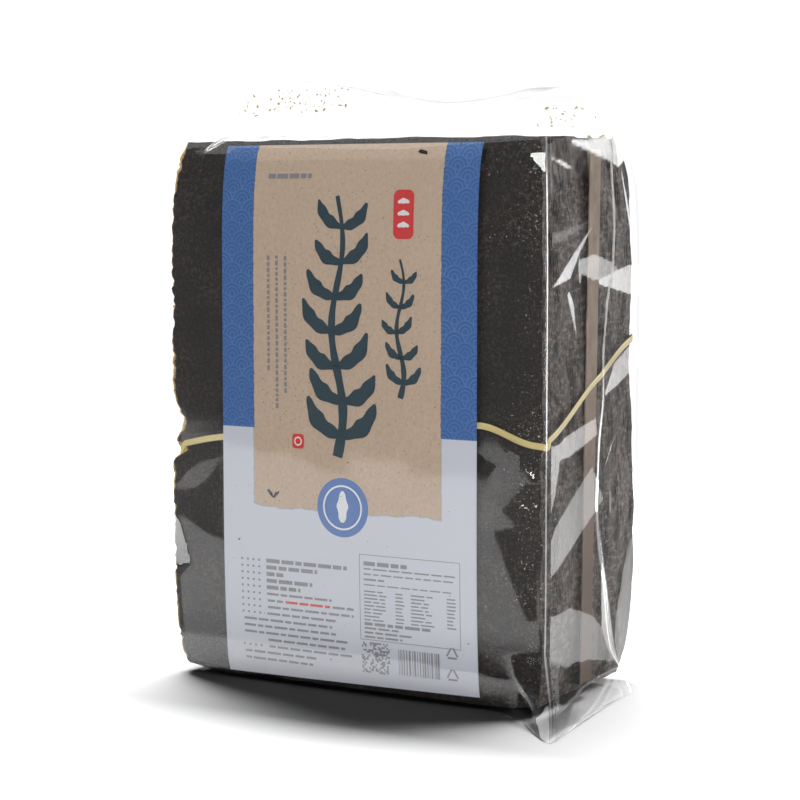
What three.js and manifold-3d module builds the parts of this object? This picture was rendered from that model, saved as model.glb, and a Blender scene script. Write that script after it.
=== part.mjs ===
// A pack of dried seaweed sheets: a tall block in a clear film bag with side folds,
// a paper label on its front and a straw tie once round its middle.
// Millimetres, +Z up. The label faces -Y. The origin is on the floor, below the block's middle.

import * as THREE from 'three';
import Module from 'manifold-3d';

// The block in its film
const BAG_WIDTH = 210;
const BAG_DEPTH = 104;
const BLOCK_HEIGHT = 270;
const FACE_BOW_BASE = 4;
const FACE_BOW_TOP = 6.5;
const BOW_POWER_BASE = 4;
const BOW_POWER_TOP = 8;
const FACE_CROWN = 1.5;
const SIDE_TAPER = 4;
const TAPER_POWER = 6;
const EDGE_RADIUS = 6;
const CREASE_RADIUS = 2.5;

// The fold line down the middle of each side
const FOLD_Y = 10;
const FOLD_MID = -1;
const FOLD_END = 6;
const FOLD_POWER = 4;

// The rounded base that the block stands on
const BASE_ROUND = 14;
const BASE_INSET = 2.5;
const BASE_CORNER = 10;

// The rounded top edges of the block
const TOP_ROUND = 9;
const TOP_INSET = 1.5;

// The film that stands up above the block, as a ridge along X with two peaks
const RIDGE_LOW = 12;
const RIDGE_PEAK = { x: -52, span: 58, height: 19 };
const RIDGE_EAR = { x: 84, span: 34, height: 13 };
const RIDGE_HALF = 1.1;
const RIDGE_NARROW = 0.06;
const ROOF_CURVE = 1.7;

// The corner of film that spreads over the floor at the front right, and the skirt beside it
const EAR_REACH = new THREE.Vector2(27.5, -44);
const EAR_HEIGHT = 30;
const EAR_SPAN_FRONT = 11.5;
const EAR_SPAN_SIDE = 34;
const SKIRT_REACH = 12.5;
const SKIRT_HEIGHT = 24;
const SKIRT_POWER = 1.5;

// The label
const LABEL_LEFT = -74.4;
const LABEL_RIGHT = 68.8;
const LABEL_BOTTOM = 4;
const LABEL_SLANT = 2.2;
const LABEL_TOP = 267.5;
const LABEL_THICK = 0.5;
const GAP = 0.3;

// The straw tie: its band, and its height above the floor on the way round
const TIE_WIDTH = 3;
const TIE_THICK = 1;
const TIE_LEFT_BACK = 124;
const TIE_LEFT_MID = 100;
const TIE_LEFT_FRONT = 113;
const TIE_LABEL_LEFT = 123;
const TIE_LABEL_RIGHT = 136;
const TIE_DIP = 128;
const TIE_DIP_X = 98;
const TIE_RIGHT_FRONT = 130.6;
const TIE_RIGHT_MID = 156;
const TIE_RIGHT_BACK = 173;

// How finely the curved faces are divided
const FACE_STEPS = 20;
const CORNER_STEPS = 4;
const HALF_SIDE_STEPS = 5;
const BASE_LEVELS = 9;
const BASE_SPACING = 1.5;
const WALL_LEVELS = 13;
const TOP_LEVELS = 3;
const ROOF_LEVELS = 8;
const LABEL_COLUMNS = 8;
const LABEL_ROWS = 26;
const TIE_STEPS = 114;
const HALFWAY = 0.5;
const QUARTER_TURN = Math.PI / 2;

// The plain colours and roughness of the solids
const BAG_LOOK = { color: 0x34302c, roughness: 0.3 };
const LABEL_LOOK = { color: 0xb9aea4, roughness: 0.7 };
const TIE_LOOK = { color: 0xdcc98c, roughness: 0.6 };

const wasm = await Module();
wasm.setup();

// How far a height is from the middle of the block: 0 at the middle, 1 at the base and the top.
function fromMiddle(z) {
  return Math.min(1, Math.abs(2 * z / BLOCK_HEIGHT - 1));
}

function baseShare(z) {
  return Math.max(0, 1 - z / BASE_ROUND) ** 2;
}

function topShare(z) {
  return Math.max(0, 1 - (BLOCK_HEIGHT - z) / TOP_ROUND) ** 2;
}

// How far the faces draw in at the rounded base and top.
function rounding(z) {
  return BASE_INSET * baseShare(z) + TOP_INSET * topShare(z);
}

function halfDepth(z) {
  const low = z < BLOCK_HEIGHT / 2;
  const bow = low ? FACE_BOW_BASE : FACE_BOW_TOP;
  const power = low ? BOW_POWER_BASE : BOW_POWER_TOP;
  return BAG_DEPTH / 2 - bow * fromMiddle(z) ** power - rounding(z);
}

function halfWidth(z) {
  return BAG_WIDTH / 2 - SIDE_TAPER * fromMiddle(z) ** TAPER_POWER - rounding(z);
}

// The Y of the front face: a little further back towards its left and right edges.
function frontY(x, z) {
  return FACE_CROWN * (2 * x / BAG_WIDTH) ** 2 - halfDepth(z);
}

// How far the fold line stands out from the side it runs down.
function foldOut(z) {
  return FOLD_MID + (FOLD_END - FOLD_MID) * fromMiddle(z) ** FOLD_POWER;
}

// The stations of a ring round the block, anticlockwise from the fold on the left side.
const stations = [];
function addStations(part, steps) {
  for (let i = 0; i < steps; i += 1) {
    stations.push({ part, t: i / steps });
  }
}
addStations('leftToFront', HALF_SIDE_STEPS);
addStations('frontLeft', CORNER_STEPS);
addStations('front', FACE_STEPS);
addStations('frontRight', CORNER_STEPS);
addStations('rightToFold', HALF_SIDE_STEPS);
addStations('rightToBack', HALF_SIDE_STEPS);
addStations('backRight', CORNER_STEPS);
addStations('back', FACE_STEPS);
addStations('backLeft', CORNER_STEPS);
addStations('leftToFold', HALF_SIDE_STEPS);

// The plan of the block at one height: a point for a station, before any film spreads out.
function planPoint(part, t, z) {
  const w = halfWidth(z);
  const d = halfDepth(z);
  const grown = BASE_CORNER * baseShare(z);
  const round = EDGE_RADIUS + grown;
  const sharp = CREASE_RADIUS;
  const foldX = w + foldOut(z);
  const lerp = THREE.MathUtils.lerp;
  const arc = (cx, cy, radius, start) => {
    const angle = start + t * QUARTER_TURN;
    return new THREE.Vector2(cx + radius * Math.cos(angle), cy + radius * Math.sin(angle));
  };
  const crown = FACE_CROWN;
  switch (part) {
    case 'leftToFront':
      return new THREE.Vector2(lerp(-foldX, -w, t), lerp(FOLD_Y, round + crown - d, t));
    case 'frontLeft':
      return arc(round - w, round + crown - d, round, 2 * QUARTER_TURN);
    case 'front': {
      const x = lerp(round - w, w - sharp, t);
      const reach = Math.max(w - round, w - sharp);
      return new THREE.Vector2(x, crown * (x / reach) ** 2 - d);
    }
    case 'frontRight':
      return arc(w - sharp, sharp + crown - d, sharp, 3 * QUARTER_TURN);
    case 'rightToFold':
      return new THREE.Vector2(lerp(w, foldX, t), lerp(sharp + crown - d, FOLD_Y, t));
    case 'rightToBack':
      return new THREE.Vector2(lerp(foldX, w, t), lerp(FOLD_Y, d - round - crown, t));
    case 'backRight':
      return arc(w - round, d - round - crown, round, 0);
    case 'back': {
      const x = lerp(w - round, round - w, t);
      return new THREE.Vector2(x, d - crown * (x / (w - round)) ** 2);
    }
    case 'backLeft':
      return arc(round - w, d - round - crown, round, QUARTER_TURN);
    default:
      return new THREE.Vector2(lerp(-w, -foldX, t), lerp(d - round - crown, FOLD_Y, t));
  }
}

// The same plan with the film that spreads over the floor at the right.
function spreadPoint(part, t, z) {
  const point = planPoint(part, t, z);
  const inset = BASE_INSET * baseShare(z);
  const corner = CREASE_RADIUS * (1 - Math.SQRT1_2);
  const cornerX = halfWidth(z) - corner;
  const cornerY = corner - halfDepth(z);
  const across = (point.x - cornerX) / (part.startsWith('right') ? EAR_SPAN_SIDE : EAR_SPAN_FRONT);
  const along = (point.y - cornerY) / EAR_SPAN_SIDE;
  const near = Math.exp(-(across ** 2) - along ** 2);
  const ear = near * Math.max(0, 1 - z / EAR_HEIGHT);
  point.addScaledVector(EAR_REACH, ear);
  const width = halfWidth(z);
  const onRight = THREE.MathUtils.smoothstep(point.x, width - EAR_SPAN_FRONT, width - inset);
  const side = onRight * (1 - near) * Math.max(0, 1 - Math.abs(point.y - FOLD_Y) / BAG_DEPTH);
  point.x += SKIRT_REACH * side * Math.max(0, 1 - z / SKIRT_HEIGHT) ** SKIRT_POWER;
  return point;
}

// The height of the film's ridge above the block along X.
function ridgeHeight(x) {
  const bump = (b) => b.height * Math.exp(-(((x - b.x) / b.span) ** 4));
  return RIDGE_LOW + bump(RIDGE_PEAK) + bump(RIDGE_EAR);
}

// The rings of the bag from the floor to the ridge.
const rings = [];
function addRing(z) {
  rings.push(stations.map((s) => {
    const p = spreadPoint(s.part, s.t, z);
    return new THREE.Vector3(p.x, p.y, z);
  }));
}
for (let i = 0; i < BASE_LEVELS; i += 1) {
  addRing(EAR_HEIGHT * (i / BASE_LEVELS) ** BASE_SPACING);
}
const wallTop = BLOCK_HEIGHT - TOP_ROUND;
for (let i = 0; i < WALL_LEVELS; i += 1) {
  addRing(THREE.MathUtils.lerp(EAR_HEIGHT, wallTop, i / WALL_LEVELS));
}
for (let i = 0; i < TOP_LEVELS; i += 1) {
  addRing(THREE.MathUtils.lerp(wallTop, BLOCK_HEIGHT, i / TOP_LEVELS));
}
for (let i = 0; i <= ROOF_LEVELS; i += 1) {
  const rise = i / ROOF_LEVELS;
  const close = (1 - rise) ** ROOF_CURVE;
  const thin = RIDGE_HALF / halfDepth(BLOCK_HEIGHT);
  rings.push(stations.map((s) => {
    const p = planPoint(s.part, s.t, BLOCK_HEIGHT);
    const x = p.x * (1 - RIDGE_NARROW * rise);
    const y = p.y * THREE.MathUtils.lerp(thin, 1, close);
    return new THREE.Vector3(x, y, BLOCK_HEIGHT + rise * ridgeHeight(x));
  }));
}

// A closed mesh from rings of points, its two ends closed across the rings.
function solidFromRings(ringList) {
  const count = ringList[0].length;
  const positions = ringList.flat().flatMap((p) => [p.x, p.y, p.z]);
  const index = [];
  for (let k = 0; k + 1 < ringList.length; k += 1) {
    for (let i = 0; i < count; i += 1) {
      const a = k * count + i;
      const b = k * count + (i + 1) % count;
      index.push(a, b, b + count, a, b + count, a + count);
    }
  }
  const last = (ringList.length - 1) * count;
  for (let i = 0; i < count / 2; i += 1) {
    const [a, b] = [i, i + 1];
    const [c, d] = [(count - i - 1) % count, (count - i) % count];
    if (b !== c) {
      index.push(a, c, b);
      index.push(last + a, last + b, last + c);
    }
    if (a !== d) {
      index.push(a, d, c);
      index.push(last + a, last + c, last + d);
    }
  }
  return { positions, index };
}

function toManifold({ positions, index }) {
  return new wasm.Manifold(new wasm.Mesh({
    numProp: 3,
    vertProperties: new Float32Array(positions),
    triVerts: new Uint32Array(index),
  }));
}

function toGeometry({ positions, index }) {
  const geometry = new THREE.BufferGeometry();
  geometry.setAttribute('position', new THREE.Float32BufferAttribute(positions, 3));
  geometry.setIndex(index);
  geometry.computeVertexNormals();
  return geometry;
}

function fromManifold(solid) {
  const mesh = solid.getMesh();
  return toGeometry({ positions: Array.from(mesh.vertProperties), index: Array.from(mesh.triVerts) });
}

// The tie's height as a smooth closed curve through its turning points, by share of the way round.
const ringCount = stations.length;
function shareOf(part, t) {
  const first = stations.findIndex((s) => s.part === part);
  const steps = stations.filter((s) => s.part === part).length;
  return (first + t * steps) / ringCount;
}
function frontShare(x) {
  const w = halfWidth(TIE_LABEL_LEFT);
  const from = EDGE_RADIUS - w;
  const to = w - CREASE_RADIUS;
  return shareOf('front', (x - from) / (to - from));
}
const tieKnots = [
  [shareOf('leftToFront', HALFWAY), TIE_LEFT_MID],
  [shareOf('frontLeft', HALFWAY), TIE_LEFT_FRONT],
  [frontShare(LABEL_LEFT), TIE_LABEL_LEFT],
  [frontShare(LABEL_RIGHT), TIE_LABEL_RIGHT],
  [frontShare(TIE_DIP_X), TIE_DIP],
  [shareOf('rightToFold', 0), TIE_RIGHT_FRONT],
  [shareOf('rightToFold', 1), TIE_RIGHT_MID],
  [shareOf('backRight', HALFWAY), TIE_RIGHT_BACK],
  [shareOf('backLeft', HALFWAY), TIE_LEFT_BACK],
];
function knotAt(i) {
  const count = tieKnots.length;
  const turns = Math.floor(i / count);
  const [at, height] = tieKnots[i - turns * count];
  return [at + turns, height];
}
function slopeAt(i) {
  const [before, low] = knotAt(i - 1);
  const [after, high] = knotAt(i + 1);
  return (high - low) / (after - before);
}
function tieHeight(share) {
  const place = share < tieKnots[0][0] ? share + 1 : share;
  let i = 0;
  while (knotAt(i + 1)[0] <= place) {
    i += 1;
  }
  const [from, low] = knotAt(i);
  const [to, high] = knotAt(i + 1);
  const length = to - from;
  const t = (place - from) / length;
  const rest = 1 - t;
  const bend = t * rest * length * (slopeAt(i) * rest - slopeAt(i + 1) * t);
  return low * rest ** 2 * (1 + 2 * t) + high * t ** 2 * (1 + 2 * rest) + bend;
}
function tiePoint(share) {
  const z = tieHeight(share);
  const place = (share * ringCount + ringCount) % ringCount;
  const first = stations[Math.floor(place)];
  const steps = stations.filter((s) => s.part === first.part).length;
  const p = planPoint(first.part, first.t + (place % 1) / steps, z);
  return new THREE.Vector3(p.x, p.y, z);
}

// A band round the bag: a rectangle swept along the tie's way, from one depth to another.
function bandMesh(width, depthIn, depthOut) {
  const positions = [];
  const index = [];
  const near = HALFWAY / ringCount;
  for (let i = 0; i < TIE_STEPS; i += 1) {
    const share = (i + HALFWAY) / TIE_STEPS;
    const point = tiePoint(share);
    const along = tiePoint(share + near).sub(tiePoint(share - near)).normalize();
    const out = new THREE.Vector3(along.y, -along.x, 0).normalize();
    const up = new THREE.Vector3().crossVectors(out, along).normalize();
    for (const [o, u] of [[-depthIn, -1], [depthOut, -1], [depthOut, 1], [-depthIn, 1]]) {
      const corner = point.clone().addScaledVector(out, o).addScaledVector(up, u * width / 2);
      positions.push(corner.x, corner.y, corner.z);
    }
    const next = (i + 1) % TIE_STEPS;
    for (let k = 0; k < 4; k += 1) {
      const a = i * 4 + k;
      const b = i * 4 + (k + 1) % 4;
      const c = next * 4 + (k + 1) % 4;
      const d = next * 4 + k;
      index.push(a, c, b, a, d, c);
    }
  }
  return { positions, index };
}

// The label: a thin plate over the front face, a hair's breadth in front of it.
// Its bottom edge rises a little towards the right.
function labelMesh() {
  const positions = [];
  const index = [];
  const columns = LABEL_COLUMNS + 1;
  const layer = columns * (LABEL_ROWS + 1);
  for (const offset of [GAP + LABEL_THICK, GAP]) {
    for (let r = 0; r <= LABEL_ROWS; r += 1) {
      const way = (1 - Math.cos(Math.PI * r / LABEL_ROWS)) / 2;
      for (let c = 0; c < columns; c += 1) {
        const across = c / LABEL_COLUMNS;
        const x = THREE.MathUtils.lerp(LABEL_LEFT, LABEL_RIGHT, across);
        const z = THREE.MathUtils.lerp(LABEL_BOTTOM + LABEL_SLANT * across, LABEL_TOP, way);
        const slope = frontY(x, z + GAP) - frontY(x, z - GAP);
        const normal = new THREE.Vector3(0, -2 * GAP, slope).normalize();
        const point = new THREE.Vector3(x, frontY(x, z), z).addScaledVector(normal, offset);
        positions.push(point.x, point.y, point.z);
      }
    }
  }
  const quad = (a, b, c, d) => index.push(a, b, c, a, c, d);
  for (let r = 0; r < LABEL_ROWS; r += 1) {
    for (let c = 0; c < LABEL_COLUMNS; c += 1) {
      const a = r * columns + c;
      quad(a, a + 1, a + columns + 1, a + columns);
      quad(layer + a, layer + a + columns, layer + a + columns + 1, layer + a + 1);
    }
    const left = r * columns;
    const right = left + LABEL_COLUMNS;
    quad(left, left + columns, layer + left + columns, layer + left);
    quad(right, layer + right, layer + right + columns, right + columns);
  }
  const topRow = LABEL_ROWS * columns;
  for (let c = 0; c < LABEL_COLUMNS; c += 1) {
    quad(c, layer + c, layer + c + 1, c + 1);
    quad(topRow + c, topRow + c + 1, layer + topRow + c + 1, layer + topRow + c);
  }
  return { positions, index };
}

// The bag with a groove that the tie lies in, flush with the film.
const groove = toManifold(bandMesh(TIE_WIDTH + 2 * GAP, TIE_THICK + GAP, TIE_THICK));
const bagSolid = toManifold(solidFromRings(rings)).subtract(groove);

function namedMesh(name, geometry, look) {
  const material = new THREE.MeshStandardMaterial({ ...look, metalness: 0 });
  const mesh = new THREE.Mesh(geometry, material);
  mesh.name = name;
  return mesh;
}

const pack = new THREE.Group();
pack.name = 'nori_pack';
pack.add(namedMesh('bag', fromManifold(bagSolid), BAG_LOOK));
pack.add(namedMesh('label', toGeometry(labelMesh()), LABEL_LOOK));
pack.add(namedMesh('tie', toGeometry(bandMesh(TIE_WIDTH, TIE_THICK, 0)), TIE_LOOK));

export default pack;
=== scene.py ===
"""A bagged pack of nori sheets, dressed round its CAD frame.

Metres, +Z up. The label faces -Y and the pack stands on the floor at the origin.
"""

import math

import bpy
import numpy as np
from bpy.props import FloatProperty, FloatVectorProperty, IntProperty, PointerProperty
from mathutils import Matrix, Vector, geometry


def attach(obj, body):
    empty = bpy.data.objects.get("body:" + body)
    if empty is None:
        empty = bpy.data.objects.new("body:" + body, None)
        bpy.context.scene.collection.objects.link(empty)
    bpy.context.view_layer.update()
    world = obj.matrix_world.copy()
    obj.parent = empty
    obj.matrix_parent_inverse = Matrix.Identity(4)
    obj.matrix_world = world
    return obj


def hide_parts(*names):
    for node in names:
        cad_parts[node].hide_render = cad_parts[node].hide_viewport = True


bl_info = {
    "name": "Nori pack",
    "version": (1, 0, 0),
    "blender": (4, 5, 0),
    "location": "View3D > Sidebar > Nori pack",
    "description": "Builds a bagged pack of nori sheets with its label, tie and stage",
    "category": "Object",
}

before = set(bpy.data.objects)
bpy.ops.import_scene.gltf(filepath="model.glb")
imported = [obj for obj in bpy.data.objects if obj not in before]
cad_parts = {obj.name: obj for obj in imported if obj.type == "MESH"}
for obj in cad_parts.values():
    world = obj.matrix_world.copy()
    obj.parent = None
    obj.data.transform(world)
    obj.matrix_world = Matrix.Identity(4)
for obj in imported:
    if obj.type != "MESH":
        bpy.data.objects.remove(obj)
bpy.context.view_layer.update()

BODY = "root"
MM = 0.001
QUARTER = math.pi / 2

# The form of the bag, as the solid has it
FACE_BOW_BASE = 4 * MM
FACE_BOW_TOP = 6.5 * MM
BOW_POWER_BASE = 4
BOW_POWER_TOP = 8
FACE_CROWN = 1.5 * MM
SIDE_TAPER = 4 * MM
TAPER_POWER = 6
EDGE_RADIUS = 6 * MM
CREASE_RADIUS = 2.5 * MM
FOLD_Y = 10 * MM
FOLD_MID = -1 * MM
FOLD_END = 6 * MM
FOLD_POWER = 4
BASE_ROUND = 14 * MM
BASE_INSET = 2.5 * MM
BASE_CORNER = 10 * MM
TOP_ROUND = 9 * MM
TOP_INSET = 1.5 * MM
RIDGE_LOW = 12 * MM
RIDGE_PEAK = (-52 * MM, 58 * MM, 19 * MM)
RIDGE_EAR = (84 * MM, 34 * MM, 13 * MM)
RIDGE_HALF = 1.1 * MM
RIDGE_NARROW = 0.06
ROOF_CURVE = 1.7
EAR_REACH = (27.5 * MM, -44 * MM)
EAR_HEIGHT = 30 * MM
EAR_SPAN_FRONT = 11.5 * MM
EAR_SPAN_SIDE = 34 * MM
SKIRT_REACH = 12.5 * MM
SKIRT_HEIGHT = 24 * MM
SKIRT_POWER = 1.5

# The parts of a ring round the bag, anticlockwise from the fold on the left side
PARTS = (
    "left_to_front",
    "front_left",
    "front",
    "front_right",
    "right_to_fold",
    "right_to_back",
    "back_right",
    "back",
    "back_left",
    "left_to_fold",
)
TIE_STEPS = (5, 4, 20, 4, 5, 5, 4, 20, 4, 5)
TIE_PLACES = 480
TIE_SUNK = 0.52 * MM

# The film's rings: stations in each part, and rows from the floor to the ridge
FILM_STEPS = (24, 8, 84, 12, 74, 62, 8, 54, 8, 24)
FILM_BASE_ROWS = 24
FILM_BASE_POWER = 1.5
FILM_WALL_ROWS = 194
FILM_TOP_ROWS = 9
FILM_FOOT = 0.3 * MM
FILM_EDGE = 3.5 * MM
FILM_FOLD_MID = 1.4 * MM
FILM_LEFT_SHARE = 0.4
TOP_LIFT = 2.4 * MM
ROOF_STEPS = 34
ROOF_RUN = 50 * MM
ROOF_LOW = 3 * MM
ROOF_TAUT = 12 * MM
ROOF_SAG_POWER = 0.7

# The line of the fold down the right side, in millimetres: heights and places across
FOLD_LINE_Z = (0, 36, 67, 97, 145, 190, 210, 270)
FOLD_LINE_Y = (23, 12, 3.5, -2, 4, 7, 15.5, 11)
FOLD_WAVE = 0.8 * MM
FOLD_WAVE_PITCH = 7 * MM
FOLD_PINCH = 0.8 * MM
FOLD_PINCH_REACH = 1.7 * MM

# Facets of crumpled film: the share of a part over which they grow from its ends, their pitch and height
# in millimetres, and the seed
FACET_JITTER = 0.42
FACETS = {
    "side": (0.06, 21, 0.8, 11),
    "front": (0.04, 24, 0.7, 12),
    "back": (0.05, 26, 2.2, 13),
    "left_to_front": (0.15, 19, 1.8, 14),
    "left_to_fold": (0.15, 19, 1.8, 15),
}
ROOF_FACETS = (18 * MM, 2.6 * MM, 5)
FLAT_BASE = 40 * MM
FLAT_TOP = 18 * MM

# The film's fold above the label, its calm over the label, and its loose corner at the back right
LIP_FOLD = 0.9 * MM
LIP_FOLD_Z = 262.5 * MM
LIP_FOLD_REACH = 1.6 * MM
LABEL_CALM = 0.35
BESIDE_LABEL = (66, 74)
LOOSE_OUT = 2.5 * MM
LOOSE_Z = 60 * MM
LOOSE_SPAN = 40 * MM
LOOSE_REACH = 0.12
LOOSE_FROM = {"right_to_back": (0.86, 1), "back": (0.1, -1)}

# Which way the film faces where it stands off the block and catches the light
AS_BUILT = (0.0, 0.0, 0.0)
SIDE_HIGH = (1.0, -0.18, 0.31)
SIDE_MID = (1.0, -0.20, 0.41)
SIDE_LOW = (1.0, -0.23, 0.54)
FRONT_DOWN = (0.0, -1.0, -0.12)
FRONT_TOP = (0.468, -0.883, -0.041)
FRONT_RIGHT = (0.470, -0.879, 0.087)
FRONT_LEFT = (0.583, -0.806, 0.106)
FRONT_SKY = (0.0, -0.55, 0.84)
FRONT_FLOOR = (0.0, -1.0, 0.07)
EAR_LIGHT = (0.0, -0.80, 0.60)
CREASE = (0.90, -0.30, 0.30)
SKIRT_SKY = (0.15, -0.10, 0.98)

# Patches of the film, in millimetres across and up: the two ends of each, how far it reaches to the left
# and to the right of the line between them at four places, which way it faces, how strongly it mirrors
SIDE_PATCHES = (
    ((-50.5, 222), (-10.5, 231), (3, 2, 1, 0), (2, 2, 1.5, 0), AS_BUILT, 0.9),
    ((-47.5, 201), (-8.5, 228), (0.2, 0.6, 0.4, 0), (0, 6.5, 2.4, 0), SIDE_HIGH, 1.0),
    ((-21.5, 216), (-20.5, 202), (0, 0.7, 1.3, 0.4), (0, 0.7, 1.3, 0.4), SIDE_HIGH, 0.9),
    ((-20.5, 210), (21.5, 206), (3, 6.8, 5.2, 2), (3, 5.4, 5.3, 0), SIDE_HIGH, 0.6),
    ((-0.5, 201.5), (53.5, 201), (1.5, 5.3, 7.8, 9), (0.5, 3.3, 5.8, 8), SIDE_HIGH, 0.95),
    ((-32.5, 198), (-23.5, 176), (1.5, 3, 1.5, 0), (1.5, 1, 0.5, 0), SIDE_HIGH, 1.0),
    ((26.5, 257), (42.5, 218), (0, 1.5, 2.5, 1), (0, 0.5, 0.5, 0), SIDE_HIGH, 1.1),
    ((-45, 260), (-28, 255.5), (0, 0.8, 1, 0.3), (0, 0.6, 0.8, 0.3), SIDE_HIGH, 1.3),
    ((-24, 266), (22, 259), (1, 4, 8, 13), (0, 0.5, 1, 2), SIDE_HIGH, 1.15),
    ((22, 259), (52, 265), (13, 10, 8, 7), (2, 1, 0.5, 0), SIDE_HIGH, 1.15),
    ((7.5, 148), (51.5, 168), (1, 7.6, 7.7, 3), (1, 3.6, 5.3, 6), SIDE_MID, 0.75),
    ((-48.5, 123.5), (-1.5, 133), (2, 5, 5, 4.5), (4, 5.5, 5, 4), SIDE_MID, 0.75),
    ((-50.5, 128), (-51.5, 94), (10, 10, 7, 2), (2, 1.5, 1, 0.5), SIDE_MID, 0.75),
    ((-52.5, 64), (-0.5, 107), (6, 15, 13, 9.5), (0, 4, 8, 13), SIDE_LOW, 0.6),
    ((-56.5, 38), (17.5, 22), (10, 17.5, 15, 2), (8.5, 8, 6, 6), SIDE_LOW, 0.5),
    ((-0.5, 92), (23.5, 10), (0, 0.5, 0.5, 0.5), (0, 4, 11, 3), SIDE_LOW, 1.0),
    ((38, 10), (48, 80), (17, 19, 12, 1), (18, 16, 12, 7), SIDE_LOW, 0.46),
    ((-54, 20), (16, 9), (7, 7, 6, 4), (14, 14, 12, 10), AS_BUILT, 0.1),
    ((-47, 2), (53, 2), (7, 11, 11, 10), (4, 4, 4, 4), SKIRT_SKY, 1.3),
    ((19.5, 126), (7.5, 111), (0, 0.7, 0.6, 0), (0, 0.5, 0.5, 0), SIDE_MID, 1.1),
    ((14.5, 106), (15.5, 84), (0, 1, 0.8, 0), (0, 0.6, 0.6, 0), SIDE_MID, 1.1),
)
FRONT_PATCHES = (
    ((104, 110), (100, 46), (0, 0, 0, 0), (10, 26, 16, 5), AS_BUILT, 0.08),
    ((72, 102), (90, 90), (0, 3, 1, 0), (0, 14, 8, 0), AS_BUILT, 1.2),
    ((74, 103), (88, 124), (0, 3, 3, 2), (1, 7, 9, 3), FRONT_DOWN, 0.9),
    ((-108, 92), (-74, 92), (26, 27, 28, 30), (8, 12, 18, 21), AS_BUILT, 0.1),
    ((-102, 95), (-75, 112), (2, 5, 5, 0.5), (0, 5, 4, 0), FRONT_DOWN, 0.8),
    ((-105, 87), (-99.5, 56), (0, 2.5, 4.5, 5), (1, 4, 6, 6), FRONT_LEFT, 0.42),
    ((-106, 52), (-94, 57), (2, 2, 1, 0), (4, 3, 1, 0), AS_BUILT, 0.1),
    ((88, 27), (104.5, 27), (2, 4, 5, 5), (8, 10, 12, 12), AS_BUILT, 0.12),
    ((-108, 12), (88, 12), (9, 9, 9, 5), (8.5, 8.5, 8.5, 8.5), FRONT_FLOOR, 1.3),
    ((94, 6), (106, 6), (1, 4, 8, 11), (5.5, 5.5, 5.5, 5.5), EAR_LIGHT, 1.0),
    ((92.5, 262), (104.5, 262.4), (0.3, 0.3, 0.3, 0.3), (0, 4.5, 8.5, 11.5), FRONT_TOP, 0.95),
    ((96, 117), (99.5, 112), (0.4, 1, 1, 0.3), (0.4, 0.8, 1, 0.3), FRONT_RIGHT, 0.9),
    ((91, 101), (96, 98.5), (0.2, 0.9, 0.7, 0.2), (0.2, 0.7, 0.7, 0.2), FRONT_RIGHT, 0.9),
    ((98, 101.5), (102, 99), (0.2, 0.8, 0.8, 0.2), (0.2, 0.7, 0.7, 0.2), FRONT_RIGHT, 0.9),
    ((-87, 264.5), (-74, 270.6), (0, 0.8, 1, 0.4), (0, 0.8, 1, 0.4), FRONT_SKY, 7.0),
    ((-57, 268.6), (-46, 271), (0, 0.6, 0.7, 0), (0, 0.6, 0.5, 0), FRONT_SKY, 6.0),
    ((-44, 269.2), (-37, 271), (0, 0.5, 0.5, 0), (0, 0.5, 0.5, 0), FRONT_SKY, 6.0),
    ((-20, 268.8), (-12, 271.2), (0, 0.7, 0.7, 0), (0, 0.7, 0.7, 0), FRONT_SKY, 5.0),
    ((4, 269.2), (16, 270.6), (0, 0.4, 0.5, 0), (0, 0.4, 0.5, 0), FRONT_SKY, 4.0),
)
PATCH_EDGE = 0.9
PATCH_BRIGHT = 1.2
PATCH_FALL = 0.4

# How strongly the film mirrors elsewhere; heights and places in millimetres
SIDE_CALM_Z = (228, 248)
SIDE_MIRROR = (0.13, 0.04)
CREASE_STATIONS = (4, 6)
CREASE_Z = (15, 35, 90, 150)
CREASE_MIRROR = (2.0, 5.5, 5.0, 2.3)
CORNER_MIRROR = 0.15
LABEL_LIP_MIRROR = 0.25
LIP_MIRROR = 0.55
LEFT_MIRROR = 0.2
ROOF_EAR_X = (55, 75)
ROOF_MIRROR = (0.12, 0.4)
FOLD_SHINE_Z = (100, 160)
FOLD_MIRROR = (4.0, 0.8)
FOLD_BRIGHT = (-0.6, 1.2)
FOLD_SHADE = (1.5, 1.6)
FOLD_DARK = 0.9

# The outline of a sheet, how its edges wander and curl (in millimetres), and its place in the bag
SHEET_BOTTOM_STEPS = 50
SHEET_SIDE_STEPS = 128
SHEET_COUNT = 2 * (SHEET_BOTTOM_STEPS + SHEET_SIDE_STEPS)
SHEET_INSET = 3.2 * MM
SHEET_SEEDS = (21, 22)
SHEET_FRONT_GAP = 2.45 * MM
SHEET_BACK_GAP = 2.3 * MM
WANDER = 0.6
WANDER_SHEETS = 2.2
WANDER_STATIONS = 22
WANDER_POWER = 2.6
WANDER_LIMITS = (-2.4, 0.8)
SHRED = 0.03
SHRED_LEFT = 17
GROW = 0.05
CURL = 0.12
CURL_STATIONS = 9
FOOT_MIDDLE = -3
FOOT_SPAN = (74, 102)
FOOT_LIFT = 2.5 * MM
FOOT_HEIGHT = 25 * MM

# How the edges are drawn in at the left: in a dent above the tie, and in a groove along the tie that is
# deeper at the corners
EDGE_X = 100 * MM
DENT = 6 * MM
DENT_Z = 129 * MM
DENT_SLOPE = 0.2
DENT_REACH = 9 * MM
GROOVE = 3.2 * MM
GROOVE_Z = 98 * MM
GROOVE_Y = -12 * MM
GROOVE_BEND = (12.5, 7.7)
GROOVE_REACH = 3.2 * MM
GROOVE_CORNER = 5 * MM
GROOVE_CORNER_Y = (43, 48)
DRAWN_POWER = 6

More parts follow.
